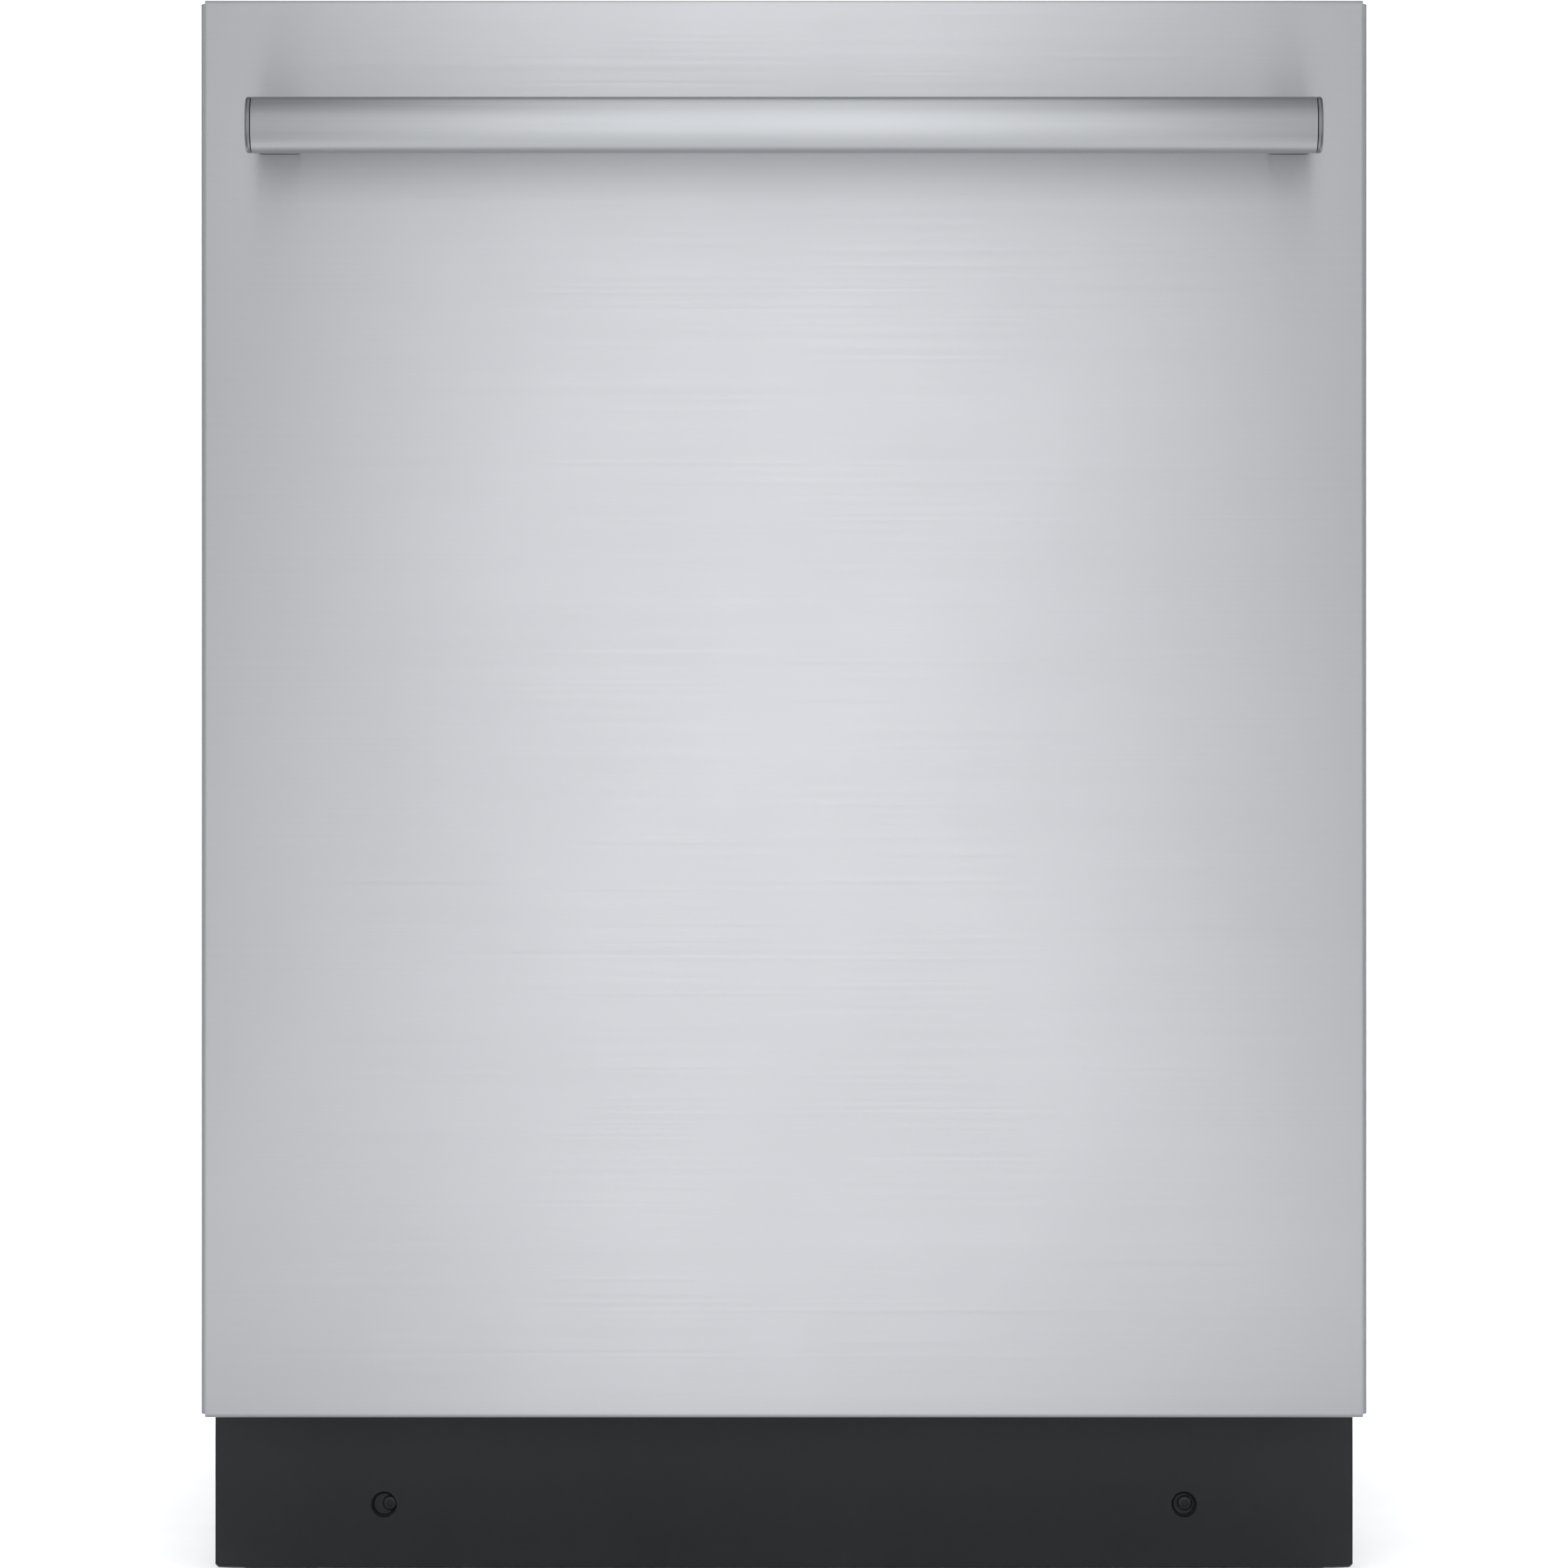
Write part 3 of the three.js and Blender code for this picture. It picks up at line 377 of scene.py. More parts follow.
# %% Node group helpers
def new_group(name, inputs, outputs):
    """An empty shader group. inputs maps a name to a default number or a vector."""
    group = bpy.data.node_groups.new(name, "ShaderNodeTree")
    for label, value in inputs.items():
        kind = "NodeSocketVector" if isinstance(value, tuple) else "NodeSocketFloat"
        group.interface.new_socket(name=label, in_out="INPUT", socket_type=kind).default_value = value
    for label in outputs:
        group.interface.new_socket(name=label, in_out="OUTPUT", socket_type="NodeSocketFloat")
    return group, group.nodes.new("NodeGroupInput"), group.nodes.new("NodeGroupOutput")


def math_node(tree, operation, first, second=None, clamp=False):
    node = tree.nodes.new("ShaderNodeMath")
    node.operation = operation
    node.use_clamp = clamp
    for socket, value in zip(node.inputs, (first, second)):
        if isinstance(value, (int, float)):
            socket.default_value = value
        elif value is not None:
            tree.links.new(value, socket)
    return node.outputs[0]


def noise_node(tree, vector, scale, detail=3.0, roughness=0.5):
    node = tree.nodes.new("ShaderNodeTexNoise")
    tree.links.new(vector, node.inputs["Vector"])
    if isinstance(scale, (int, float)):
        node.inputs["Scale"].default_value = scale
    else:
        tree.links.new(scale, node.inputs["Scale"])
    node.inputs["Detail"].default_value = detail
    node.inputs["Roughness"].default_value = roughness
    return node.outputs["Fac"]


# %% Brushed grain
# Long thin scratches: a noise stretched along the brushing direction, with a slower noise for uneven pressure.
brushed_grain, grain_in, grain_out = new_group(
    "brushed_grain", {"Stretch": (8.0, 8.0, 2600.0), "Uneven": 6.0}, ["Tone", "Height", "Patches"]
)
place = brushed_grain.nodes.new("ShaderNodeTexCoord")
stretched = brushed_grain.nodes.new("ShaderNodeVectorMath")
stretched.operation = "MULTIPLY"
brushed_grain.links.new(place.outputs["Object"], stretched.inputs[0])
brushed_grain.links.new(grain_in.outputs["Stretch"], stretched.inputs[1])
scratches = noise_node(brushed_grain, stretched.outputs[0], 1.0, 4.0, 0.62)
coarse = brushed_grain.nodes.new("ShaderNodeVectorMath")
coarse.operation = "SCALE"
coarse.inputs["Scale"].default_value = 0.21
brushed_grain.links.new(stretched.outputs[0], coarse.inputs[0])
long_lines = noise_node(brushed_grain, coarse.outputs[0], 1.0, 2.0, 0.5)
blend_lines = math_node(brushed_grain, "MULTIPLY_ADD", long_lines, 0.35)
brushed_grain.links.new(math_node(brushed_grain, "MULTIPLY", scratches, 0.65), blend_lines.node.inputs[2])
patches = noise_node(brushed_grain, place.outputs["Object"], grain_in.outputs["Uneven"], 3.0, 0.55)
brushed_grain.links.new(blend_lines, grain_out.inputs["Tone"])
brushed_grain.links.new(blend_lines, grain_out.inputs["Height"])
brushed_grain.links.new(patches, grain_out.inputs["Patches"])

# %% Moulded skin
# Plastic that comes out of a spark-eroded mould has a fine pebble, and a faint cloudiness from flow and cooling.
moulded_skin, skin_in, skin_out = new_group(
    "moulded_skin", {"Pebble": 900.0, "Cloud": 9.0}, ["Pebble", "Cloud"]
)
place = moulded_skin.nodes.new("ShaderNodeTexCoord")
pebble = noise_node(moulded_skin, place.outputs["Object"], skin_in.outputs["Pebble"], 3.0, 0.6)
cloud = noise_node(moulded_skin, place.outputs["Object"], skin_in.outputs["Cloud"], 4.0, 0.55)
moulded_skin.links.new(pebble, skin_out.inputs["Pebble"])
moulded_skin.links.new(cloud, skin_out.inputs["Cloud"])

# %% Rubbed edges and painted corner shade
# Handling polishes a metal's outer edges. The inner corners are darkened in colour as painted shade, standing in for
# the shade that falls into them. Pointiness finds both.
edge_wear_and_corner_shade, rub_in, wear_and_shade_out = new_group("edge_wear_and_corner_shade", {"Width": 0.06}, ["Edge", "CornerShade"])
surface = edge_wear_and_corner_shade.nodes.new("ShaderNodeNewGeometry")
convex = math_node(edge_wear_and_corner_shade, "SUBTRACT", surface.outputs["Pointiness"], 0.5)
edge = math_node(edge_wear_and_corner_shade, "DIVIDE", convex, rub_in.outputs["Width"], clamp=True)
concave = math_node(edge_wear_and_corner_shade, "MULTIPLY", convex, -1.0)
corner = math_node(edge_wear_and_corner_shade, "DIVIDE", concave, rub_in.outputs["Width"], clamp=True)
edge_wear_and_corner_shade.links.new(edge, wear_and_shade_out.inputs["Edge"])
edge_wear_and_corner_shade.links.new(corner, wear_and_shade_out.inputs["CornerShade"])
print("effects:", [g.name for g in (brushed_grain, moulded_skin, edge_wear_and_corner_shade)])

# %% [markdown]
# ## Finishes
# Each finish of the machine is one material. A finish mixes a base colour between two close tones with the
# effect's mask, moves the roughness a little, and bumps the surface with the same height, so that colour, gloss
# and relief agree, as they do on the real thing.

# %% Material helpers
def start_finish(name):
    material = bpy.data.materials.new(name)
    material.use_nodes = True
    tree = material.node_tree
    return material, tree, tree.nodes["Principled BSDF"]


def use_group(tree, group, **values):
    node = tree.nodes.new("ShaderNodeGroup")
    node.node_tree = group
    for label, value in values.items():
        node.inputs[label].default_value = value
    return node


def between(tree, mask, low, high, mask_low=0.3, mask_high=0.7):
    """A colour or a number between two values, by a mask."""
    if isinstance(low, tuple):
        ramp = tree.nodes.new("ShaderNodeValToRGB")
        ramp.color_ramp.elements[0].position = mask_low
        ramp.color_ramp.elements[0].color = (*low, 1)
        ramp.color_ramp.elements[1].position = mask_high
        ramp.color_ramp.elements[1].color = (*high, 1)
        tree.links.new(mask, ramp.inputs[0])
        return ramp.outputs[0]
    node = tree.nodes.new("ShaderNodeMapRange")
    for label, value in zip(("From Min", "From Max", "To Min", "To Max"), (mask_low, mask_high, low, high)):
        node.inputs[label].default_value = value
    tree.links.new(mask, node.inputs["Value"])
    return node.outputs["Result"]


def mixed(tree, mask, base, over):
    """Lays the colour over on the colour base, where the mask is high."""
    node = tree.nodes.new("ShaderNodeMix")
    node.data_type = "RGBA"
    tree.links.new(mask, node.inputs["Factor"])
    tree.links.new(base, node.inputs["A"])
    node.inputs["B"].default_value = (*over, 1)
    return node.outputs["Result"]


def bumped(tree, shader, height, strength, distance):
    """distance is in millimetres."""
    bump = tree.nodes.new("ShaderNodeBump")
    bump.inputs["Strength"].default_value = strength
    bump.inputs["Distance"].default_value = distance * MM
    tree.links.new(height, bump.inputs["Height"])
    tree.links.new(bump.outputs[0], shader.inputs["Normal"])


def steel_finish(name, tone, roughness, stretch, contrast, bump, anisotropic=0.0):
    """Brushed metal. stretch is the grain's frequency along x, y and z: small along the brushing."""
    material, tree, shader = start_finish(name)
    grain = use_group(tree, brushed_grain, Stretch=stretch)
    wear_and_shade = use_group(tree, edge_wear_and_corner_shade)
    dark = tuple(c * (1 - contrast) for c in tone)
    light = tuple(min(1, c * (1 + contrast)) for c in tone)
    colour = between(tree, grain.outputs["Tone"], dark, light)
    rub = math_node(tree, "MULTIPLY", wear_and_shade.outputs["Edge"], 0.10)
    colour = mixed(tree, rub, colour, tuple(min(1, c * 1.3) for c in tone))
    tree.links.new(colour, shader.inputs["Base Color"])
    shader.inputs["Metallic"].default_value = 1.0
    streaky = between(tree, grain.outputs["Tone"], roughness - 0.04, roughness + 0.04)
    rough = math_node(tree, "MULTIPLY_ADD", grain.outputs["Patches"], 0.06)
    tree.links.new(streaky, rough.node.inputs[2])
    tree.links.new(rough, shader.inputs["Roughness"])
    shader.inputs["Anisotropic"].default_value = anisotropic
    if anisotropic:
        across = tree.nodes.new("ShaderNodeTangent")
        across.direction_type = "RADIAL"
        across.axis = "X"
        tree.links.new(across.outputs["Tangent"], shader.inputs["Tangent"])
    bumped(tree, shader, grain.outputs["Height"], bump, 0.03)
    return material


def plastic_finish(name, tone, roughness, pebble, bump, variation, coat=0.0, metallic=0.0, depth=0.02):
    """Moulded plastic, paint or rubber: pebble for the fine relief, clouds for the uneven tone."""
    material, tree, shader = start_finish(name)
    skin = use_group(tree, moulded_skin, Pebble=pebble)
    wear_and_shade = use_group(tree, edge_wear_and_corner_shade)
    dark = tuple(c * (1 - variation) for c in tone)
    light = tuple(min(1, c * (1 + variation)) for c in tone)
    colour = between(tree, skin.outputs["Cloud"], dark, light)
    rub = math_node(tree, "MULTIPLY", wear_and_shade.outputs["Edge"], 0.18)
    colour = mixed(tree, rub, colour, tuple(min(1, c * 1.5 + 0.01) for c in tone))
    # Painted shade: inner corners are darkened in the base colour, standing in for the shade that falls there.
    dust_and_shade = math_node(tree, "MULTIPLY", wear_and_shade.outputs["CornerShade"], 0.12)
    colour = mixed(tree, dust_and_shade, colour, tuple(c * 0.75 + 0.015 for c in tone))
    tree.links.new(colour, shader.inputs["Base Color"])
    shader.inputs["Metallic"].default_value = metallic
    gloss = between(tree, skin.outputs["Pebble"], roughness - 0.06, roughness + 0.06)
    tree.links.new(gloss, shader.inputs["Roughness"])
    shader.inputs["Coat Weight"].default_value = coat
    bumped(tree, shader, skin.outputs["Pebble"], bump, depth)
    return material


def zinc_finish(name, tone, crystal):
    """Hot-dipped sheet: the zinc sets in flat crystals, and each one has its own tone and gloss."""
    material, tree, shader = start_finish(name)
    wear_and_shade = use_group(tree, edge_wear_and_corner_shade)
    skin = use_group(tree, moulded_skin, Pebble=240.0, Cloud=5.0)
    place = tree.nodes.new("ShaderNodeTexCoord")
    spangle = tree.nodes.new("ShaderNodeTexVoronoi")
    spangle.inputs["Scale"].default_value = crystal
    spangle.inputs["Randomness"].default_value = 1.0
    tree.links.new(place.outputs["Object"], spangle.inputs["Vector"])
    facet = tree.nodes.new("ShaderNodeSeparateColor")
    tree.links.new(spangle.outputs["Color"], facet.inputs["Color"])
    dark, light = (tuple(c * k for c in tone) for k in (0.95, 1.04))
    colour = between(tree, facet.outputs["Red"], dark, light, 0.0, 1.0)
    rub = math_node(tree, "MULTIPLY", wear_and_shade.outputs["Edge"], 0.2)
    colour = mixed(tree, rub, colour, tuple(min(1, c * 1.3) for c in tone))
    # Dust: darker in random cloudy patches.
    dust_and_shade = math_node(tree, "MULTIPLY", skin.outputs["Cloud"], 0.10)
    colour = mixed(tree, dust_and_shade, colour, tuple(c * 0.6 for c in tone))
    tree.links.new(colour, shader.inputs["Base Color"])
    shader.inputs["Metallic"].default_value = 0.9
    tree.links.new(between(tree, facet.outputs["Green"], 0.38, 0.44, 0.0, 1.0), shader.inputs["Roughness"])
    bumped(tree, shader, skin.outputs["Pebble"], 0.05, 0.02)
    return material


# %% The machine's finishes
# Steels: tone, roughness, grain, contrast, bump, anisotropy. The brushed fronts spread their highlights across
# the grain, which is what keeps a tall door evenly bright from top to bottom.
ALONG_X = (7.0, 2400.0, 2400.0)
ALONG_Z = (2400.0, 2400.0, 7.0)
SATIN = (1500.0, 1500.0, 30.0)
STEELS = {
    "door_steel": ((0.572, 0.581, 0.603), 0.44, ALONG_X, 0.035, 0.25, 0.86),
    "handle_steel": ((0.385, 0.394, 0.408), 0.30, ALONG_X, 0.04, 0.12, 0.84),
    "handle_casting": ((0.25, 0.26, 0.275), 0.36, ALONG_Z, 0.05, 0.1),
    "tub_steel": ((0.68, 0.69, 0.71), 0.27, SATIN, 0.006, 0.006),
    "filter_steel": ((0.60, 0.61, 0.63), 0.30, SATIN, 0.04, 0.08),
}
# Paint, plastic and rubber: tone, roughness, pebble size, bump, unevenness of tone, then coat, metal and depth.
MOULDED = {
    "kick_paint": ((0.015, 0.0155, 0.0175), 0.42, 700.0, 0.20, 0.08),
    "dark_plastic": ((0.026, 0.027, 0.030), 0.46, 900.0, 0.2, 0.1),
    "grey_plastic": ((0.27, 0.29, 0.32), 0.38, 800.0, 0.10, 0.05),
    "pale_plastic": ((0.58, 0.60, 0.62), 0.36, 800.0, 0.10, 0.04),
    "rubber": ((0.020, 0.020, 0.021), 0.62, 500.0, 0.25, 0.15),
    "bitumen": ((0.018, 0.018, 0.019), 0.80, 220.0, 0.8, 0.25, 0.0, 0.0, 0.3),
    "coated_wire": ((0.42, 0.45, 0.48), 0.30, 400.0, 0.08, 0.05, 0.3),
    "display_black": ((0.010, 0.010, 0.011), 0.10, 60.0, 0.02, 0.2, 0.6),
    "screw_black": ((0.028, 0.028, 0.030), 0.34, 500.0, 0.2, 0.2, 0.0, 0.7),
    "motor_case": ((0.10, 0.105, 0.11), 0.40, 300.0, 0.15, 0.1, 0.0, 0.4),
}
for finish, values in STEELS.items():
    FINISHES[finish] = steel_finish(finish, *values)
for finish, values in MOULDED.items():
    FINISHES[finish] = plastic_finish(finish, *values)
FINISHES["zinc_plate"] = zinc_finish("zinc_plate", (0.44, 0.454, 0.473), 130.0)
kick_shader = FINISHES["kick_paint"].node_tree.nodes["Principled BSDF"]
kick_shader.inputs["Specular IOR Level"].default_value = 0.18
print(len(FINISHES), "finishes")

# %% [markdown]
# ## The door skin
# The skin is one steel sheet, folded back along all four edges. Each bend has a radius of 2 mm, and the corners
# are notched, so that the sheet doesn't crumple where two bends would meet. A grid of points is the natural way:
# one profile across, one profile up, and no faces where both are in a bend.

# %% Door skin
def bend_profile(low, high, radius, back, steps=6):
    """Stations across a folded sheet as (place, depth): a flange, a bend, the flat, a bend, a flange."""
    start = [(low, back), (low, radius)]
    arc = []
    for k in range(1, steps + 1):
        angle = math.radians(90 * k / steps)
        arc.append((low + radius * (1 - math.cos(angle)), radius * (1 - math.sin(angle))))
    mirrored = [(low + high - place, depth) for place, depth in reversed(start + arc)]
    return start + arc, mirrored


def folded_sheet(name, x, z, y, radius, flange, top_flange):
    """A sheet in front of y, folded back on four sides. Both x and z stations carry a depth."""
    left, right = bend_profile(x[0], x[1], radius, flange)
    foot, head = bend_profile(z[0], z[1], radius, flange)
    head[-1] = (head[-1][0], top_flange)
    flat_x = spread(left[-1][0] + 1.0, right[0][0] - 1.0, 15)
    flat_z = spread(foot[-1][0] + 1.0, head[0][0] - 1.0, 19)
    xs = left + [(p, 0.0) for p in flat_x] + right
    zs = foot + [(p, 0.0) for p in flat_z] + head
    points = [(px, y + max(dx, dz), pz) for px, dx in xs for pz, dz in zs]

    def in_corner(i, j):
        side = i < len(left) - 1 or i >= len(xs) - len(left)
        fold = j < len(foot) - 1 or j >= len(zs) - len(foot)
        return side and fold

    return shape(name, points, grid_faces(len(xs), len(zs), in_corner))


DOOR_SHEET, DOOR_BEND, DOOR_FLANGE, TOP_FLANGE = 0.8, 2.0, 20.0, 5.0
skin_x, _, skin_z = span("door_skin")
door_skin = folded_sheet("door_face", skin_x, skin_z, FACE, DOOR_BEND, DOOR_FLANGE, TOP_FLANGE)
thicken(door_skin, DOOR_SHEET)
rounded_edges(door_skin, 0.25, 2, 50)
stands_for(door_skin, "door_skin")
print("door face:", [round(b - a, 1) for a, b in (skin_x, skin_z)], "mm")

# %% [markdown]
# ## Frame pieces that are already right
# A flat bracket or a turned pump body needs no new shape, only what a real edge has: a small round that catches
# the light. The frame's own meshes are left as they are, and modifiers weld their seams and bevel their edges.

# %% Dress a node
def dress(node, edge):
    """Rounds a frame node's edges and keeps its large faces flat."""
    made = frame["nodes"][node]
    made.data.materials.clear()
    made.data.materials.append(FINISHES[SLOT_OF[node]])
    made.modifiers.new("weld_seams", "WELD").merge_threshold = 0.01 * MM
    rounded_edges(made, edge, 2, 40)
    flat = made.modifiers.new("flat_faces", "WEIGHTED_NORMAL")
    flat.mode = "FACE_AREA"
    flat.weight = 100
    flat.keep_sharp = True


# %% [markdown]
# ## The handle
# The bar is an extruded tube with a full, round front and a flatter back. A superellipse gives that section: its
# power says how square it is, and the front and back can have different powers. Each end is a separate casting:
# a cap with a soft rim, and a post that stands on the door.

# %% Handle bar
bar_x, bar_y, bar_z = span("handle_bar")
BAR_MIDDLE = (mid(bar_y), mid(bar_z))
BAR_HALF = ((bar_y[1] - bar_y[0]) / 2, (bar_z[1] - bar_z[0]) / 2)
FRONT_POWER, BACK_POWER = 2.3, 4.5


def bar_section(shrink=0.0, sides=56):
    """Points (y, z) round the bar. shrink is in millimetres."""
    ring = []
    for k in range(sides):
        angle = math.tau * k / sides
        c, s = math.cos(angle), math.sin(angle)
        power = FRONT_POWER if c < 0 else BACK_POWER
        y = squarish(c, 2 / power) * (BAR_HALF[0] - shrink)
        z = squarish(s, 2 / power) * (BAR_HALF[1] - shrink)
        ring.append((BAR_MIDDLE[0] + y, BAR_MIDDLE[1] + z))
    return ring


bar_rings = [[(x, y, z) for y, z in bar_section()] for x in spread(bar_x[0], bar_x[1], 41)]
stands_for(smooth(loft("handle_tube", bar_rings), 50), "handle_bar")

# %% Handle ends
def handle_end(side, node):
    """The cap is a loft of the bar's own section, and the post a loft of round-cornered rectangles."""
    x, y, _ = span(node)
    tip = max(abs(x[0]), abs(x[1]))
    inner = bar_x[1] + 0.3
    rim = [(inner, 0.35), (inner + 0.3, 0), (tip - 1.3, 0), (tip - 0.65, 0.3), (tip - 0.2, 0.95), (tip, 2.0)]
    cap = loft(node + "_cap", [[(side * at, py, pz) for py, pz in bar_section(shrink)] for at, shrink in rim])
    smooth(cap, 70)
    foot, root, outer = y[1], BAR_MIDDLE[0] + 1.5, tip - 0.6
    widths = [(root, 10.5, 7.0), (root + 6, 12.5, 7.6), (root + 18, 19.0, 8.3)]
    widths += [(foot - 3, 22.6, 8.8), (foot, 23.4, 9.2)]
    rings = []
    for at, width, half in widths:
        upright = (BAR_MIDDLE[1] - half, BAR_MIDDLE[1] + half)
        outline = rounded_rectangle((outer - width, outer), upright, 3.2, 5)
        rings.append([(side * px, at, pz) for px, pz in outline])
    post = smooth(loft(node + "_post", rings), 60)
    stands_for(merged("handle_casting_" + node.split("_")[-1], cap, post), node)


for side, node in ((-1, "handle_end_left"), (1, "handle_end_right")):
    handle_end(side, node)
print("handle bar", round(bar_x[1] - bar_x[0], 1), "mm long,", round(bar_z[1] - bar_z[0], 1), "mm tall")

# %% [markdown]
# ## The toe kick
# The kick is a thin painted sheet. It has clipped lower corners, three shallow lips along its lower edge, and a
# wide hole in front of each screw. The hole opens into a pocket, and the screw clamps the pocket's floor.

# %% Toe kick
kick_x, kick_y, kick_z = span("toe_kick")
HOLE_X, HOLE_Z, HOLE_R = 210.0, 34.8, 6.7
LIP, CLIP, KICK_SHEET = 0.5, 1.7, 0.8
LIPS = ((-282, -246), (-171, 171), (246, 282))


def toe_kick():
    low, high, half = kick_z[0] + LIP, kick_z[1], kick_x[1]
    front, back = kick_y[0], kick_y[0] + KICK_SHEET
    outline = [(half, low + CLIP), (half, high), (-half, high), (-half, low + CLIP), (-half + CLIP, low)]
    for start, end in LIPS:
        outline += [(start - 2, low), (start, low - LIP), (end, low - LIP), (end + 2, low)]
    outline.append((half - CLIP, low))
    face = loft("kick_face", [[(x, y, z) for x, z in outline] for y in (front, back)])
    centres = [(side * HOLE_X, HOLE_Z) for side in (-1, 1)]
    holes = [turned("hole", "y", centre, [(front - 2, HOLE_R), (front + 3, HOLE_R)]) for centre in centres]
    parts = [rounded_edges(cut_out(face, *holes), 0.3, 2, 30)]
    top_x, top_z = (-half + 20, half - 20), (high - KICK_SHEET, high)
    parts.append(block("kick_top", top_x, (front + 0.6, kick_y[1]), top_z, 0.3))
    boss, foot = front + 3.0, front + 4.2
    outer = [(back, 9.8), (foot + 0.8, 9.7), (foot + 0.8, 5.2), (boss + 0.8, 5.0), (boss + 0.8, 0.01)]
    inner = [(boss, 0.01), (boss, 5.3), (boss + 0.3, 5.7), (foot, 5.9), (foot, 9.2), (back - 0.05, 9.3), (back, 9.8)]
    for centre in centres:
        parts.append(smooth(turned("pocket", "y", centre, outer + inner, 36, caps=False), 40))
    return smooth(merged("kick_sheet", *parts), 15)


stands_for(toe_kick(), "toe_kick")
print("toe kick", round(kick_x[1] - kick_x[0], 1), "x", round(kick_z[1] - kick_z[0], 1), "mm")

# %% Toe kick screws
# A low round head with a six-lobed socket. The socket is cut with a star, so its walls are real.
def star_screw(node, name):
    x, y, z = span(node)
    cx, cz = mid(x), mid(z)
    front = y[0]
    head = [(0, 2.6), (0.12, 3.1), (0.5, 3.65), (1.1, 3.95), (2.2, 4.0), (2.5, 3.8)]
    shank = [(2.5, 1.8), (3.2, 1.8)] + [(3.2 + k * 0.7, 1.8 if k % 2 else 1.35) for k in range(22)]
    screw = turned(name, "y", (cx, cz), [(front + at, radius) for at, radius in head + shank], 36)
    star = []
    for k in range(36):
        angle = math.tau * k / 36
        radius = 1.75 + 0.38 * math.cos(6 * angle)
        star.append((cx + radius * math.cos(angle), cz + radius * math.sin(angle)))
    socket = loft("socket", [[(px, at, pz) for px, pz in star] for at in (front - 1, front + 1.5)])
    stands_for(smooth(cut_out(screw, socket), 40), node)


for side in ("left", "right"):
    star_screw("toe_screw_" + side, "kick_screw_" + side)

# %% [markdown]
# ## Pressed sheet
# Liners and cabinet panels get their stiffness from shallow pressings. A dense folded sheet can take one from a
# relief function: it gives the depth of the pressing at each place, and soft steps keep it looking drawn, not cut.

# %% Pressed sheet
def soft_step(value, width):
    """0 below 0, 1 above width, smooth between."""
    t = min(1.0, max(0.0, value / width))
    return t * t * (3 - 2 * t)


def inside(u, v, box_u, box_v, radius):
    """How far a place is inside a rectangle with round corners: negative outside."""
    du = abs(u - mid(box_u)) - (box_u[1] - box_u[0]) / 2 + radius
    dv = abs(v - mid(box_v)) - (box_v[1] - box_v[0]) / 2 + radius
    outside = math.hypot(max(du, 0), max(dv, 0))
    return radius - outside - min(max(du, dv), 0)


def pressed_sheet(name, u, v, place, radius, flange, relief, columns, rows, open_at=None):
    """A folded sheet with a relief. place(u, v, depth) puts a station in space, open_at(u, v) leaves a window."""
    left, right = bend_profile(u[0], u[1], radius, flange, 4)
    foot, head = bend_profile(v[0], v[1], radius, flange, 4)
    us = left + [(p, 0.0) for p in spread(left[-1][0], right[0][0], columns)[1:-1]] + right
    vs = foot + [(p, 0.0) for p in spread(foot[-1][0], head[0][0], rows)[1:-1]] + head
    points = [place(pu, pv, max(du, dv) + relief(pu, pv)) for pu, du in us for pv, dv in vs]

    def cell_open(i, j):
        return open_at and open_at((us[i][0] + us[i + 1][0]) / 2, (vs[j][0] + vs[j + 1][0]) / 2)

    return shape(name, points, grid_faces(len(us), len(vs), cell_open))

# %% [markdown]
# ## The inside of the door
# The liner closes the door's back and seals against the gasket. Its field is pressed in a little, and the sheet
# stays flat round the detergent dispenser, which sits in a window.

# %% Door liner
liner_x, liner_y, liner_z = span("door_liner")
plate_x, plate_y, plate_z = span("dispenser_body")


def liner_relief(x, z):
    field = soft_step(inside(x, z, grown(liner_x, -24), (liner_z[0] + 22, liner_z[1] - 24), 22), 9)
    pad = soft_step(inside(x, z, grown(plate_x, 16), grown(plate_z, 16), 18) + 8, 8)
    return 3.6 * field * (1 - pad)


def in_window(x, z):
    return inside(x, z, grown(plate_x, -5), grown(plate_z, -5), 4) > 0


def on_liner(u, v, depth):
    return (u, liner_y[1] - depth, v)


LINER_SHEET = 0.7
door_liner = pressed_sheet("liner_sheet", liner_x, liner_z, on_liner, 3.0, 22.0, liner_relief, 110, 130, in_window)
thicken(door_liner, LINER_SHEET)
stands_for(smooth(door_liner, 50), "door_liner")

# %% Dispenser
# One moulded tray holds the detergent cup and the rinse-aid well. The lid slides up over the tray.
well_depth, face_y = plate_y
cup_x, cup_z = (plate_x[0] + 16, plate_x[0] + 80), (plate_z[0] + 12, plate_z[0] + 68)
cap_x, cap_y, cap_z = span("rinse_aid_cap")
cap_centre = (mid(cap_x), mid(cap_z))
tray = plate("dispenser_tray", "y", (face_y - 2.5, face_y), rounded_rectangle(plate_x, plate_z, 8), 0)
tray_well = block("tray_well", grown(plate_x, -6), (well_depth, face_y - 2), grown(plate_z, -6), 0, 5)
joined = tray.modifiers.new("join", "BOOLEAN")
joined.operation, joined.solver, joined.object = "UNION", "EXACT", tray_well
tray = baked(tray)
bpy.data.objects.remove(tray_well)
cup = plate("cup", "y", (face_y - 21.5, face_y + 2), rounded_rectangle(cup_x, cup_z, 7), 0)
seat = turned("seat", "y", cap_centre, [(face_y - 14.5, 20.5), (face_y + 2, 20.6)], 48)
dial = rounded_rectangle(grown(cap_x, 5), (plate_z[0] + 14, plate_z[0] + 34), 4)
groove = plate("groove", "y", (face_y - 0.8, face_y + 2), dial, 0)
stands_for(rounded_edges(cut_out(tray, cup, seat, groove), 0.6, 3, 30), "dispenser_body")

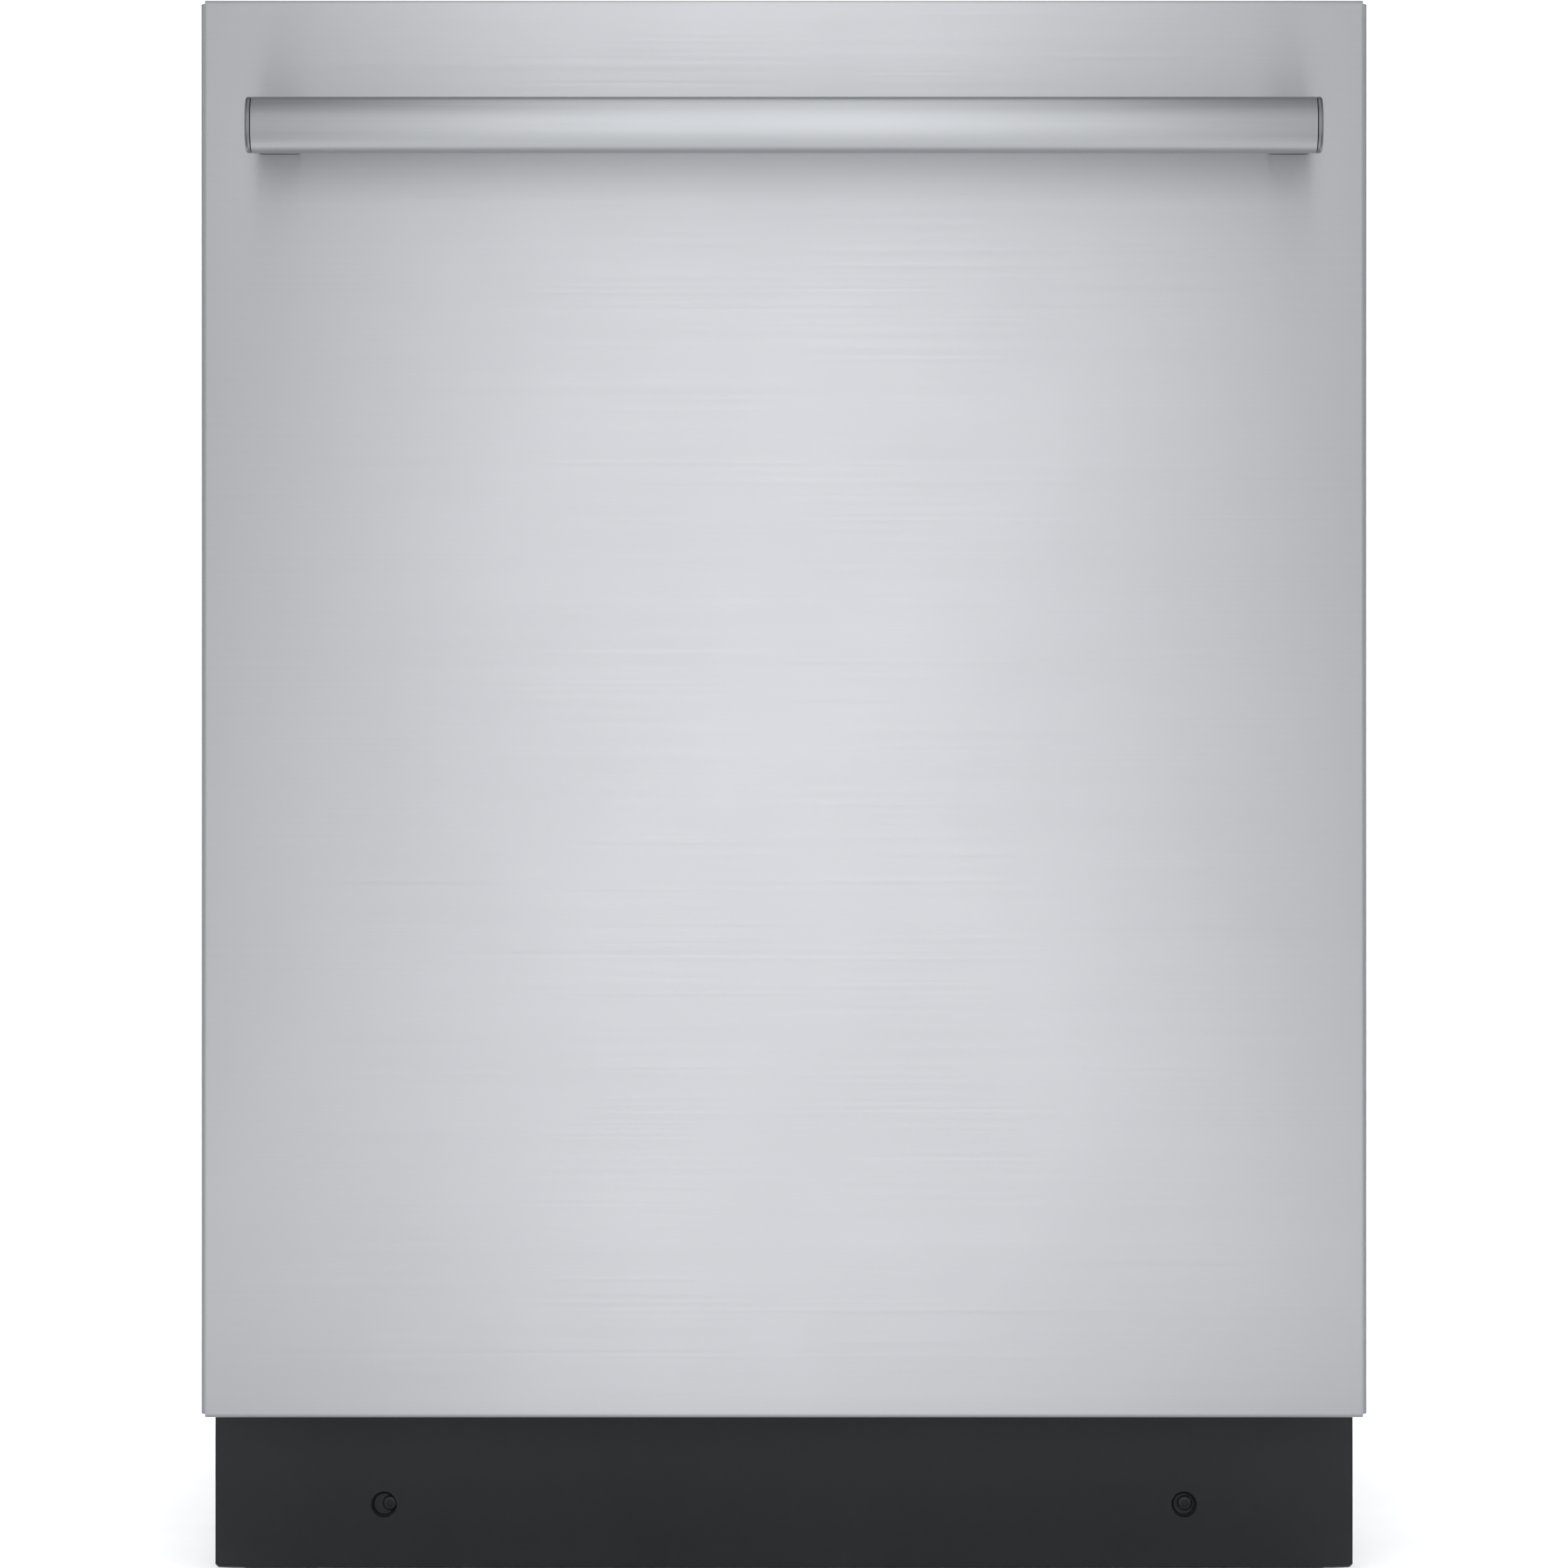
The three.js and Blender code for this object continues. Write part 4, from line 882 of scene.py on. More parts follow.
# %% Detergent lid and rinse-aid cap
# The lid has three finger ribs near its upper edge. The cap is turned, with a straight grip across its dish.
lid_x, lid_y, lid_z = span("dispenser_lid")
lid_parts = [plate("lid_plate", "y", (lid_y[0], lid_y[0] + 2.0), rounded_rectangle(lid_x, lid_z, 7), 0.6)]
for down in (20, 16, 12):
    z = lid_z[1] - down
    lid_parts.append(block("lid_rib", grown(lid_x, -10), (lid_y[0] + 1.8, lid_y[1]), (z, z + 1.6), 0.5))
stands_for(merged("detergent_lid_piece", *lid_parts), "dispenser_lid")
top = cap_y[1]
crown = [(cap_y[0], 19.6), (top - 4, 19.6), (top - 3, 19.2), (top - 2.7, 18.0), (top - 3.3, 15.0), (top - 3.3, 0.01)]
cap_disc = smooth(turned("cap_disc", "y", cap_centre, crown, 56), 35)
grip_x, grip_z = [(c - reach, c + reach) for c, reach in zip(cap_centre, (15.5, 2.6))]
cap_grip = block("cap_grip", grip_x, (top - 3.6, top), grip_z, 1.2)
stands_for(merged("rinse_cap_piece", cap_disc, cap_grip), "rinse_aid_cap")
print("dispenser", round(plate_x[1] - plate_x[0]), "x", round(plate_z[1] - plate_z[0]), "mm")

# %% [markdown]
# ## Controls along the door's top edge
# The controls face up, hidden under the worktop when the door is shut. The keys are small moulded tops that sit
# in cut-outs of the panel, each with a light pipe beside it.

# %% Control panel and keys
def key_top(node):
    """A key is a loft of rectangles that shrink over its shoulder and dip into a dish. A light pipe stands by it."""
    x, y, z = span(node)
    top = z[1]
    rings = []
    shoulder = [(z[0], 0.3), (top - 1.1, 0), (top - 0.45, 0.12), (top - 0.1, 0.55), (top, 1.2), (top - 0.25, 3.2)]
    for at, inset in shoulder:
        outline = rounded_rectangle(grown(x, -inset), grown(y, -inset), max(0.4, 1.7 - inset / 4), 5)
        rings.append([(px, py, at) for px, py in outline])
    stands_for(smooth(loft(node + "_top", rings), 50), node)
    pipe = [(top - 3, 1.0), (top - 1.3, 1.0), (top - 1.1, 0.8)]
    light = turned(node + "_light_pipe", "z", (x[1] + 4.5, mid(y)), pipe, 20)
    goes_with(smooth(light), "control_panel", "display_black")


dress("control_panel", 0.6)
dress("display_window", 0.3)
KEYS = ("power_button", "cycle_button", "option_button", "start_button")
for node in KEYS:
    key_top(node)
dress("latch_rocker", 0.5)
dress("door_strike", 0.5)
for side in ("left", "right"):
    dress("hinge_arm_" + side, 0.3)
    dress("hinge_bracket_" + side, 0.3)
print("controls:", KEYS)

# %% [markdown]
# ## The tub
# The tub is one deep-drawn or welded steel box with its mouth to the front. Seen as rings, it is simple: a wide
# flange, a bend into the mouth, the walls, and a round corner into the back wall. Long beads are pressed into its
# side walls, where the rails are fixed.

# %% Tub shell
WALL, FLOOR, CEILING, CORNER = 265.2, 124.0, 784.2, 15.2
TUB_SHEET, LIP_BEND, BACK_BEND = 0.8, 4, 14
BEAD_DEPTH, BEAD_LENGTH = 2.4, (-185, 255)
BEAD_HEIGHTS = ((205, 300), (598, 690), (340, 430))
tub_x, tub_y, tub_z = span("tub")
BACK_WALL = tub_y[1] - TUB_SHEET


def dense_outline(u, v, radius, straight=26, steps=6):
    """A rounded rectangle with extra points along its straight sides."""
    corners = rounded_rectangle(u, v, radius, steps)
    outline = []
    per_corner = steps + 1
    for c in range(4):
        arc = corners[c * per_corner:(c + 1) * per_corner]
        after = corners[(c + 1) * per_corner % len(corners)]
        outline += arc
        for k in range(1, straight):
            t = k / straight
            outline.append((arc[-1][0] * (1 - t) + after[0] * t, arc[-1][1] * (1 - t) + after[1] * t))
    return outline


def tub_bead(y, z):
    return sum(BEAD_DEPTH * soft_step(inside(y, z, BEAD_LENGTH, height, 20), 8) for height in BEAD_HEIGHTS)


def tub_shell():
    rings = []

    def ring(y, wider, radius, bead=False):
        outline = dense_outline(grown((-WALL, WALL), wider), grown((FLOOR, CEILING), wider), radius)
        for n, (x, z) in enumerate(outline):
            if bead and abs(x) > WALL - 0.1:
                outline[n] = (x + math.copysign(tub_bead(y, z), x), z)
        rings.append([(x, y, z) for x, z in outline])

    flange = dense_outline(tub_x, tub_z, 3)
    for y in (tub_y[0] + TUB_SHEET, tub_y[0]):
        rings.append([(x, y, z) for x, z in flange])
    for k in range(6):
        angle = math.radians(90 * k / 5)
        wider = LIP_BEND * (1 - math.sin(angle))
        ring(tub_y[0] + LIP_BEND * (1 - math.cos(angle)), wider, CORNER + wider)
    for y in spread(tub_y[0] + 14, BACK_WALL - 16, 60):
        ring(y, 0, CORNER, True)
    for k in range(7):
        angle = math.radians(90 * k / 6)
        inset = -BACK_BEND * (1 - math.cos(angle))
        ring(BACK_WALL - BACK_BEND + BACK_BEND * math.sin(angle), inset, max(CORNER + inset, 1.2))
    ring(BACK_WALL, -40, 1.2)
    points = [point for each in rings for point in each]
    count = len(rings[0])
    faces = ring_faces(len(rings), count)
    faces.append(tuple(range(len(points) - count, len(points))))
    return shape("tub_shell", points, faces)


tub_sheet = thicken(tub_shell(), 0.7, 1.0)
SUMP_CENTRE = (0.0, mid(span("filter_plate")[1]))
hole = turned("sump_hole", "z", SUMP_CENTRE, [(FLOOR - 8, 112), (FLOOR + 6, 112)], 64)
stands_for(smooth(cut_out(tub_sheet, hole), 40), "tub")
print("tub mouth", 2 * WALL, "mm wide,", round(CEILING - FLOOR, 1), "mm tall")

# %% Rollers on the tub's walls
def roller_place(rail_node):
    """The middle height of a rail, and the radius of a roller that runs in it."""
    _, _, z = span(rail_node)
    return mid(z), (z[1] - z[0]) / 2 - 2.4


for rail in ("upper", "third"):
    roller_z, radius = roller_place(rail + "_rail_left")
    rim = [(261.8, 0.01), (261.8, radius - 0.8), (262.3, radius), (264.4, radius), (264.6, radius - 1)]
    rim += [(265.1, radius - 2.4), (265.1, 0.01)]
    for side in (-1, 1):
        for end, y in (("front", -190), ("back", 40)):
            profile = [(side * at, size) for at, size in rim]
            roller = turned(f"{rail}_roller_{SIDE_NAME[side]}_{end}", "x", (y, roller_z), profile, 32)
            goes_with(smooth(roller, 35), "tub", "pale_plastic")

# %% [markdown]
# ## The gasket
# The seal is an extruded rubber section that runs all round the mouth: a foot that clips on the flange, a hollow
# bulb and a lip that the door's liner presses. Sweeping one section round the mouth's outline makes it.

# %% Gasket
gasket_x, gasket_y, gasket_z = span("tub_gasket")


def swept_loop(name, u, v, radius, section):
    """Sweeps a section (outwards, depth) round a rounded rectangle in the x-z plane."""
    outline = rounded_rectangle(u, v, radius, 10)
    rings = []
    for k, (pu, pv) in enumerate(outline):
        before, after = outline[k - 1], outline[(k + 1) % len(outline)]
        tangent = Vector((after[0] - before[0], after[1] - before[1])).normalized()
        normal = Vector((tangent.y, -tangent.x))
        if normal.dot(Vector((pu - mid(u), pv - mid(v)))) < 0:
            normal = -normal
        rings.append([(pu + normal.x * n, y, pv + normal.y * n) for n, y in section])
    rings.append(rings[0])
    return loft(name, rings, caps=False)


front, base = gasket_y
SEAL_INSET, SEAL_CORNER = 4.75, 21
section = [
    (-4.4, base), (4.4, base), (4.6, base - 2.0), (3.2, base - 3.0), (3.4, base - 4.2), (4.4, base - 5.4),
    (3.6, base - 7.0), (1.6, base - 8.2), (-0.6, front), (-2.6, base - 7.9), (-4.0, base - 6.2),
    (-4.3, base - 4.4), (-3.0, base - 3.2), (-4.4, base - 2.2),
]
mouth_x, mouth_z = grown(gasket_x, -SEAL_INSET), grown(gasket_z, -SEAL_INSET)
gasket = swept_loop("mouth_seal", mouth_x, mouth_z, SEAL_CORNER, section)
soft = gasket.modifiers.new("soft_section", "SUBSURF")
soft.levels = soft.render_levels = 1
stands_for(smooth(gasket, 80), "tub_gasket")
print("gasket section", len(section), "points")

# %% [markdown]
# ## Water: feed pipe, spray arms and filters
# Water rises behind the racks in a flat moulded pipe, and leaves through two turning arms and a fixed head in the
# roof. An arm is a loft along its length: wide at the hub, narrow at the tips, with a slight sweep, as the two
# halves are moulded so that the jets drive it round.

# %% Spray arms
HUB_RADIUS = 25.0


def spray_arm(node, name, sweep):
    x, y, z = span(node)
    reach, centre_y = x[1], mid(y)
    low, high = z[0] + 4.4, z[1] - 2.6
    middle, half = mid((low, high)), (high - low) / 2

    def ridge(t):
        """The arm's middle line and its top's height, for t from -1 to 1 along the arm."""
        return centre_y + sweep * math.sin(math.pi * t), middle + half * (1 - 0.28 * abs(t))

    rings = []
    for t in spread(-1, 1, 61):
        tip = max(0.06, math.sqrt(max(0.0, 1 - max(0, (abs(t) - 0.93) / 0.07) ** 2)))
        width = (12.5 + 10 * (1 - soft_step(abs(t), 0.55)) + 2.0 * soft_step(abs(t) - 0.6, 0.4)) * tip
        thick = half * (1 - 0.28 * abs(t)) * (0.35 + 0.65 * tip)
        oval = [(squarish(c, 0.72) * width, squarish(s, 0.72) * thick) for c, s in circle(28, 1)]
        rings.append([(t * reach * 0.995, ridge(t)[0] + dy, middle + dz) for dy, dz in oval])
    parts = [smooth(loft(name + "_blade", rings), 60)]
    spine = [(t * reach, ridge(t)[0], ridge(t)[1] - 0.5) for t in spread(-0.9, 0.9, 41)]
    parts.append(wires(name + "_spine", [spine], 2.2))
    foot, top = z[0] + 0.2, high + 1.8
    inner = 17.2 if node.startswith("upper") else 11.5
    hub = [(foot, inner), (foot, HUB_RADIUS - 2), (foot + 1.2, HUB_RADIUS), (middle - 1, HUB_RADIUS + 0.6)]
    hub += [(top - down, HUB_RADIUS - less) for down, less in ((2, 1), (0, 4), (0.2, 7), (1.6, 8))]
    if node.startswith("lower"):
        hub += [(top - 1.6, 7.0), (top - 0.4, 6.0), (top - 0.4, 0.01), (top - 6, 0.01), (top - 6, inner)]
    else:
        hub.append((top - 1.6, inner))
    hub.append((foot, inner))
    parts.append(smooth(turned(name + "_hub", "z", (0, centre_y), hub, 48, caps=False), 40))
    for side in (-1, 1):
        for n in range(1, 6):
            t = side * (0.16 + 0.15 * n)
            line, up = ridge(t)
            place = (t * reach, line + side * (4 if n % 2 else -4))
            jet = [(up - 1.2, 4.6), (up + 0.3, 4.2), (up + 0.9, 3.2), (up + 0.9, 1.6)]
            jet += [(up - 0.8, 1.3), (up - 0.8, 0.01)]
            parts.append(smooth(turned("jet", "z", place, jet, 24), 40))
    stands_for(merged(name, *parts), node)


spray_arm("lower_spray_arm", "lower_arm_moulding", 7.0)
spray_arm("upper_spray_arm", "upper_arm_moulding", -6.0)

# %% Feed pipe
_, pipe_y, (pipe_low, pipe_top) = span("feed_pipe")
ARM_Y = mid(span("lower_spray_arm")[1])
DOCK_Z, HEAD_Z = 425.0, 768.0
front = pipe_y[1] - 13.7
riser = plate("riser", "z", (pipe_low, pipe_top - 1), rounded_rectangle((-17, 17), (front, pipe_y[1]), 5.5, 6), 0.8)
seams = [block("riser_seam", (-18.2, 18.2), (front + 5.6, front + 7.0), (pipe_low + 4, pipe_top - 4), 0.4)]
for z in spread(pipe_low + 50, pipe_top - 60, 7):
    seams.append(block("riser_rib", (-17.6, 17.6), (front - 0.7, front + 5), (z, z + 2.2), 0.6))
socket = [(1, 13.8), (-2, 13.0), (-7.2, 13.0), (-8, 12.2), (-8, 9.8), (-3, 9.0), (-3, 0.01)]
dock = smooth(turned("dock", "y", (0, DOCK_Z), [(front + at, radius) for at, radius in socket], 40), 40)
duct = rounded_rectangle((-12, 12), (pipe_top - 8.2, pipe_top - 0.4), 3.6, 5)
conduit = plate("conduit", "y", (ARM_Y, front + 3), duct, 0.6)
head = [(pipe_top, 0.01), (pipe_top, 33.6), (pipe_top - 2, 34), (HEAD_Z + 4, 29.5), (HEAD_Z + 0.8, 26.4)]
head += [(HEAD_Z, 25.2), (HEAD_Z, 19), (HEAD_Z + 1, 18.4), (HEAD_Z + 1, 10), (HEAD_Z, 9.4), (HEAD_Z, 0.01)]
head_piece = smooth(turned("roof_head", "z", (0, ARM_Y), head, 56), 35)
jet = [(HEAD_Z + at, radius) for at, radius in ((1, 1.9), (-0.5, 1.6), (-0.5, 0.9), (0.5, 0.8), (0.5, 0.01))]
nozzles = [smooth(turned("roof_jet", "z", place, jet, 16), 40) for place in circle(10, 22, (0, ARM_Y))]
stands_for(merged("feed_pipe_moulding", riser, *seams, dock, conduit, head_piece, *nozzles), "feed_pipe")

# %% Filter plate
# The coarse filter is a steel disc punched with rows of slots. A polar grid with cells left out gives them.
fp_x, _, fp_z = span("filter_plate")
fc_x, fc_y, fc_z = span("filter_cylinder")
FILTER_CENTRE = (mid(fc_x), mid(fc_y))
HUB_CENTRE = (0, ARM_Y)


def filter_disc():
    sectors, rings = 144, 34
    radius_of = spread(4, fp_x[1], rings)
    points = []
    for r in radius_of:
        height = fp_z[1] - 0.1 - 0.6 * soft_step(r - 104, 12)
        points += [(x, y, height) for x, y in circle(sectors, r, SUMP_CENTRE)]

    def left_out(n, k):
        a, b = n * sectors + k, n * sectors + (k + 1) % sectors
        cell = [points[corner] for corner in (a, b, a + sectors, b + sectors)]
        centre = [sum(point[i] for point in cell) / 4 for i in range(2)]
        to_filter, to_hub = math.dist(centre, FILTER_CENTRE), math.dist(centre, HUB_CENTRE)
        if to_filter < 43.5 or to_hub < 23:
            return True
        group = 2 if radius_of[n] > 52 else 4
        slotted = to_filter > 50 and to_hub > 29 and 14 < radius_of[n] < 106
        return slotted and n % 2 and k % group < group // 2

    disc = thicken(shape("filter_disc", points, ring_faces(rings, sectors, leave=left_out)), 0.6, 0.0)
    low, top = fp_z
    rims = []
    for centre, r in ((FILTER_CENTRE, 41), (HUB_CENTRE, 21)):
        profile = [(low, r), (low, r + 3.4), (top, r + 3.6), (top + 0.5, r + 2.6)]
        profile += [(top + 0.5, r + 0.4), (top, r), (low, r)]
        rims.append(smooth(turned("rim", "z", centre, profile, 56, caps=False), 40))
    return merged("coarse_filter", smooth(disc, 30), *rims)


stands_for(filter_disc(), "filter_plate")

# %% Filter cylinder
tube_top = FLOOR + 8
filter_parts = []
for low, high in ((fc_z[0], fc_z[0] + 5), (100, 102.5), (118, tube_top)):
    profile = [(low, 34.2), (low, 36.6), (low + 0.4, 37), (high - 0.4, 37), (high, 36.6), (high, 34.2), (low, 34.2)]
    filter_parts.append(smooth(turned("filter_ring", "z", FILTER_CENTRE, profile, 64, caps=False), 40))
floor_disc = [(fc_z[0], 0.01), (fc_z[0], 34.6), (fc_z[0] + 2, 34.6), (fc_z[0] + 2, 0.01)]
filter_parts.append(smooth(turned("filter_floor", "z", FILTER_CENTRE, floor_disc, 48, caps=False), 40))
for k in range(12):
    stave = block("stave", (34.3, 36.8), (-1.1, 1.1), (fc_z[0] + 2, 120), 0.3)
    filter_parts.append(swung(stave, "z", math.tau * k / 12, FILTER_CENTRE))


def across_filter(name, x, half, z, edge):
    """A bar over the filter's middle, half wide each way along y."""
    return block(name, x, (FILTER_CENTRE[1] - half, FILTER_CENTRE[1] + half), z, edge)


filter_parts.append(across_filter("bridge", (-35, 35), 5, (FLOOR + 1, tube_top), 1.4))
filter_parts.append(across_filter("grip", (-17, 17), 3, (tube_top - 1, fc_z[1]), 1.6))
for x in spread(-13, 13, 7):
    filter_parts.append(across_filter("grip_fin", (x - 0.7, x + 0.7), 3.5, (tube_top, fc_z[1] - 2), 0.5))
stands_for(merged("filter_frame", *filter_parts), "filter_cylinder")


def filter_mesh():
    sides, rows = 150, 48
    outline = circle(sides, 34.2, FILTER_CENTRE)
    points = [(x, y, fc_z[0] + 3 + (tube_top - 7 - fc_z[0]) * n / rows) for n in range(rows + 1) for x, y in outline]
    faces = ring_faces(rows + 1, sides, leave=lambda n, k: n % 2 and k % 2)
    return thicken(shape("fine_mesh", points, faces), 0.25, 0.0)


goes_with(filter_mesh(), "filter_cylinder", "filter_steel")
print("filters at", FILTER_CENTRE, "and", SUMP_CENTRE)

# %% [markdown]
# ## Wire racks
# A rack is bent from coated wire: U-shaped hoops run across and along it, and a heavier rim ties their ends. Each
# hoop is a path with rounded corners, and one curve object turns all paths of one thickness into round wire.
# Short pegs stand in rows on the floor to hold plates apart.

# %% Rack helpers
def cross_hoop(x, y, floor, rim, dips=()):
    points = [(x[0], y, rim), (x[0], y, floor)]
    for dip in dips:
        points += [(dip + over, y, floor + up) for over, up in ((-22, 0), (-10, 12), (10, 12), (22, 0))]
    return bent(points + [(x[1], y, floor), (x[1], y, rim)], 14)


def long_hoop(x, y, floor, rim):
    return bent([(x, y[0], rim), (x, y[0], floor), (x, y[1], floor), (x, y[1], rim)], 14)


def rim_loop(x, y, z):
    return bent([(px, py, z) for px, py in box_outline(x, y)], 16, 6, True)


def wire_rack(name, x, y, floor, rim, cross, lengthways, bands, pegs=(), peg_height=80, dips=()):
    """Hoops, pegs, rim and bands of one rack. Each row of pegs is (x, first y, last y, count)."""
    paths = [cross_hoop(x, py, floor, rim, dips) for py in spread(y[0] + 22, y[1] - 22, cross)]
    paths += [long_hoop(px, y, floor + 3.0, rim) for px in spread(x[0] + 24, x[1] - 24, lengthways)]
    peg_rails = []
    for px, first, last, count in pegs:
        for py in spread(first, last, count):
            peg = [(px, py, floor + 3), (px, py, floor + peg_height - 6), (px, py + 3.5, floor + peg_height)]
            paths.append(bent(peg, 6, 4))
        peg_rails.append([(px, first - 10, floor + 5.5), (px, last + 10, floor + 5.5)])
    parts = [wires(name + "_thin", paths, 3.2)]
    if peg_rails:
        parts.append(wires(name + "_peg_rails", peg_rails, 3.4))
    parts.append(wires(name + "_rim", [rim_loop(grown(x, 1.5), grown(y, 1.5), rim)], 5.0, True, 4))
    for z in bands:
        parts.append(wires(name + "_band", [rim_loop(grown(x, 0.5), grown(y, 0.5), z)], 3.8, True))
    return parts


def side_runner(name, side, half, rail_node):
    """The bar along a rack's side and the rollers that run in the rail."""
    z, radius = roller_place(rail_node)
    parts = [block(name + "_bar", sided(side, half - 3, half + 4), (-204, 256), (z - 4, z + 4), 1.2)]
    for y in (-150, 0, 215):
        parts.append(block(name + "_clip", sided(side, half - 9, half - 2), (y - 11, y + 11), (z - 9, z + 9), 1.5))
    roller = [(half + 3, 3.2), (253.5, 3.2), (253.5, radius - 0.7), (254.2, radius), (258.0, radius)]
    roller += [(258.6, radius - 0.8), (258.6, 2.2), (257.6, 0.01)]
    for y in (150, 240):
        profile = [(side * at, size) for at, size in roller]
        parts.append(smooth(turned(name + "_roller", "x", (y, z), profile, 36), 35))
    return parts


def rack_grip(name, y, rim):
    return block(name, (-62, 62), y, (rim - 7.5, rim + 1.5), 2.4)


# %% Lower rack
RACK_Y = (-208.0, 260.0)
PEG_Y = (-165, 225)
RIM_DROP = 3.0
LOWER_FLOOR, LOWER_RIM = 190.0, span("lower_rack")[2][1] - RIM_DROP
lower_pegs = [(x, *PEG_Y, 15) for x in (-196, -140, -84, -28, 28, 84)] + [(x, 75, 225, 6) for x in (160, 215)]
lower_parts = wire_rack(
    "lower_rack", (-240, 240), RACK_Y, LOWER_FLOOR, LOWER_RIM, 13, 14, (226, 276), pegs=lower_pegs, peg_height=84
)
WHEELS = ["rack_wheel_" + end + "_" + side for end in ("front", "rear") for side in ("left", "right")]


def wheel_place(node):
    """The side a wheel is on, its width range, its centre and its radius."""
    x, y, z = span(node)
    return (-1 if x[0] < 0 else 1), x, (mid(y), mid(z)), (z[1] - z[0]) / 2


for node in WHEELS:
    side, _, (cy, cz), _ = wheel_place(node)
    bracket = [(cy - 11, LOWER_FLOOR + 20), (cy + 11, LOWER_FLOOR + 20), (cy + 11, cz + 10)]
    bracket += [(cy + 6, cz - 6), (cy - 6, cz - 6), (cy - 11, cz + 10)]
    lower_parts.append(plate("wheel_bracket", "x", sided(side, 236.6, 241.6), bracket, 1.2))
    pin = side * 255.8
    axle = [(side * 240, 3.0), (pin - side * 0.6, 3.0), (pin - side * 0.6, 4.6), (pin, 4.2), (pin, 0.01)]
    lower_parts.append(smooth(turned("axle", "x", (cy, cz), axle, 28), 35))
lower_parts.append(rack_grip("rack_grip", (-211.5, -205.5), LOWER_RIM))
stands_for(merged("lower_rack_wire", *lower_parts), "lower_rack")

# %% Wheels
# A rack wheel is a thin moulded disc: round tread, dished web with ribs, and a hub on its axle.
for node in WHEELS:
    side, x, centre, radius = wheel_place(node)
    inner, outer = (x[1], x[0]) if side < 0 else x
    near = [(0, 3.5), (0, 7.0), (2.2, 8.0), (2.2, radius - 3.2), (0, radius - 2.4), (0.6, radius - 0.9)]
    near.append((2.2, radius))
    far = [(2.2, radius), (0.6, radius - 0.9), (0, radius - 2.4), (2.6, radius - 3.4), (2.6, 7.2), (0, 6.4)]
    far.append((0, 3.5))
    profile = [(inner + side * at, size) for at, size in near] + [(outer - side * at, size) for at, size in far]
    wheel = [smooth(turned("wheel_disc", "x", centre, profile + profile[:1], 56, caps=False), 40)]
    for k in range(6):
        rib = sorted((outer - side * 3.0, outer - side * 0.8))
        spoke = block("spoke", rib, (6.6, radius - 3.0), (-0.8, 0.8), 0.4)
        wheel.append(swung(spoke, "x", math.tau * k / 6, centre))
    stands_for(merged(node + "_moulding", *wheel), node)
print("lower rack with", len(WHEELS), "wheels")

# %% Silverware basket
basket_x, basket_y, basket_z = span("silverware_basket")
BASKET_TOP = basket_z[0] + 120


def lattice_wall(name, outline, zs, is_open, thickness):
    """A moulded wall with windows: outline points up the z stations, cells left out where is_open says so."""
    points = [(u, v, z) for z in zs for u, v in outline]
    faces = ring_faces(len(zs), len(outline), leave=is_open)
    return rounded_edges(thicken(shape(name, points, faces), thickness), 0.35, 1, 50)


def silverware_basket():
    x, y, floor, top = basket_x, basket_y, basket_z[0], basket_z[1]
    zs = [floor, floor + 6]
    for n in range(9):
        zs += [zs[-1] + 8.4, zs[-1] + 11.6]
    zs = sorted(z for z in zs + [BASKET_TOP - 2, BASKET_TOP] if z <= BASKET_TOP)

    def window(row, k):
        return 1 <= row < len(zs) - 4 and row % 2 == 1 and k % 2 == 0

    parts = [lattice_wall("basket_wall", dense_outline(x, y, 10, 18, 4), zs, window, 2.0)]
    for py in spread(y[0] + 4, y[1] - 4, 24):
        parts.append(block("floor_bar", grown(x, -1.5), (py - 1.1, py + 1.1), (floor, floor + 2.6), 0.3))
    for px in spread(x[0] + 5, x[1] - 5, 7):
        parts.append(block("floor_rib", (px - 1.1, px + 1.1), grown(y, -1.5), (floor + 0.6, floor + 3.2), 0.3))
    middle, wall_z = mid(y), (floor + 2, BASKET_TOP - 6)
    for n in (-1, 0, 1):
        parts.append(block("divider", grown(x, -1.6), (middle + 57 * n - 1, middle + 57 * n + 1), wall_z, 0.4))
    half_arch = ((52, BASKET_TOP - 10), (52, top - 12), (40, top - 1.5))
    half_gap = ((43, BASKET_TOP - 10), (43, top - 16), (36, top - 10))
    arch = [(middle - out, z) for out, z in half_arch] + [(middle + out, z) for out, z in reversed(half_arch)]
    arch += [(middle + out, z) for out, z in half_gap] + [(middle - out, z) for out, z in reversed(half_gap)]
    mid_x = mid(x)
    parts.append(plate("basket_grip", "x", (mid_x - 2.2, mid_x + 2.2), arch, 0.9))
    parts.append(block("basket_spine", (mid_x - 1.2, mid_x + 1.2), grown(y, -2), wall_z, 0.4))
    return merged("silverware_lattice", *parts)


stands_for(silverware_basket(), "silverware_basket")

# %% Upper rack
up_y, up_z = span("upper_rack")[1:]
UPPER_FLOOR, UPPER_RIM = 440.0, up_z[1] - RIM_DROP
upper_pegs = [(x, *PEG_Y, 12) for x in (-175, -60, 60, 175)]
upper_parts = wire_rack(
    "upper_rack", (-235, 235), RACK_Y, UPPER_FLOOR, UPPER_RIM, 15, 12, (500,), upper_pegs, 52, dips=(-117, 0, 117)
)
for side in (-1, 1):
    upper_parts += side_runner("upper_runner", side, 238, "upper_rail_left")
tube = rounded_rectangle((-11, 11), (DOCK_Z - 6, DOCK_Z + 8), 4.5, 5)
upper_parts.append(plate("manifold", "y", (ARM_Y - 6, up_y[1]), tube, 0.8))
spindle = [(up_z[0], 0.01), (up_z[0], 13.6), (up_z[0] + 1.2, 15)]
spindle += [(DOCK_Z + 7, 15), (DOCK_Z + 9, 13), (DOCK_Z + 9, 0.01)]
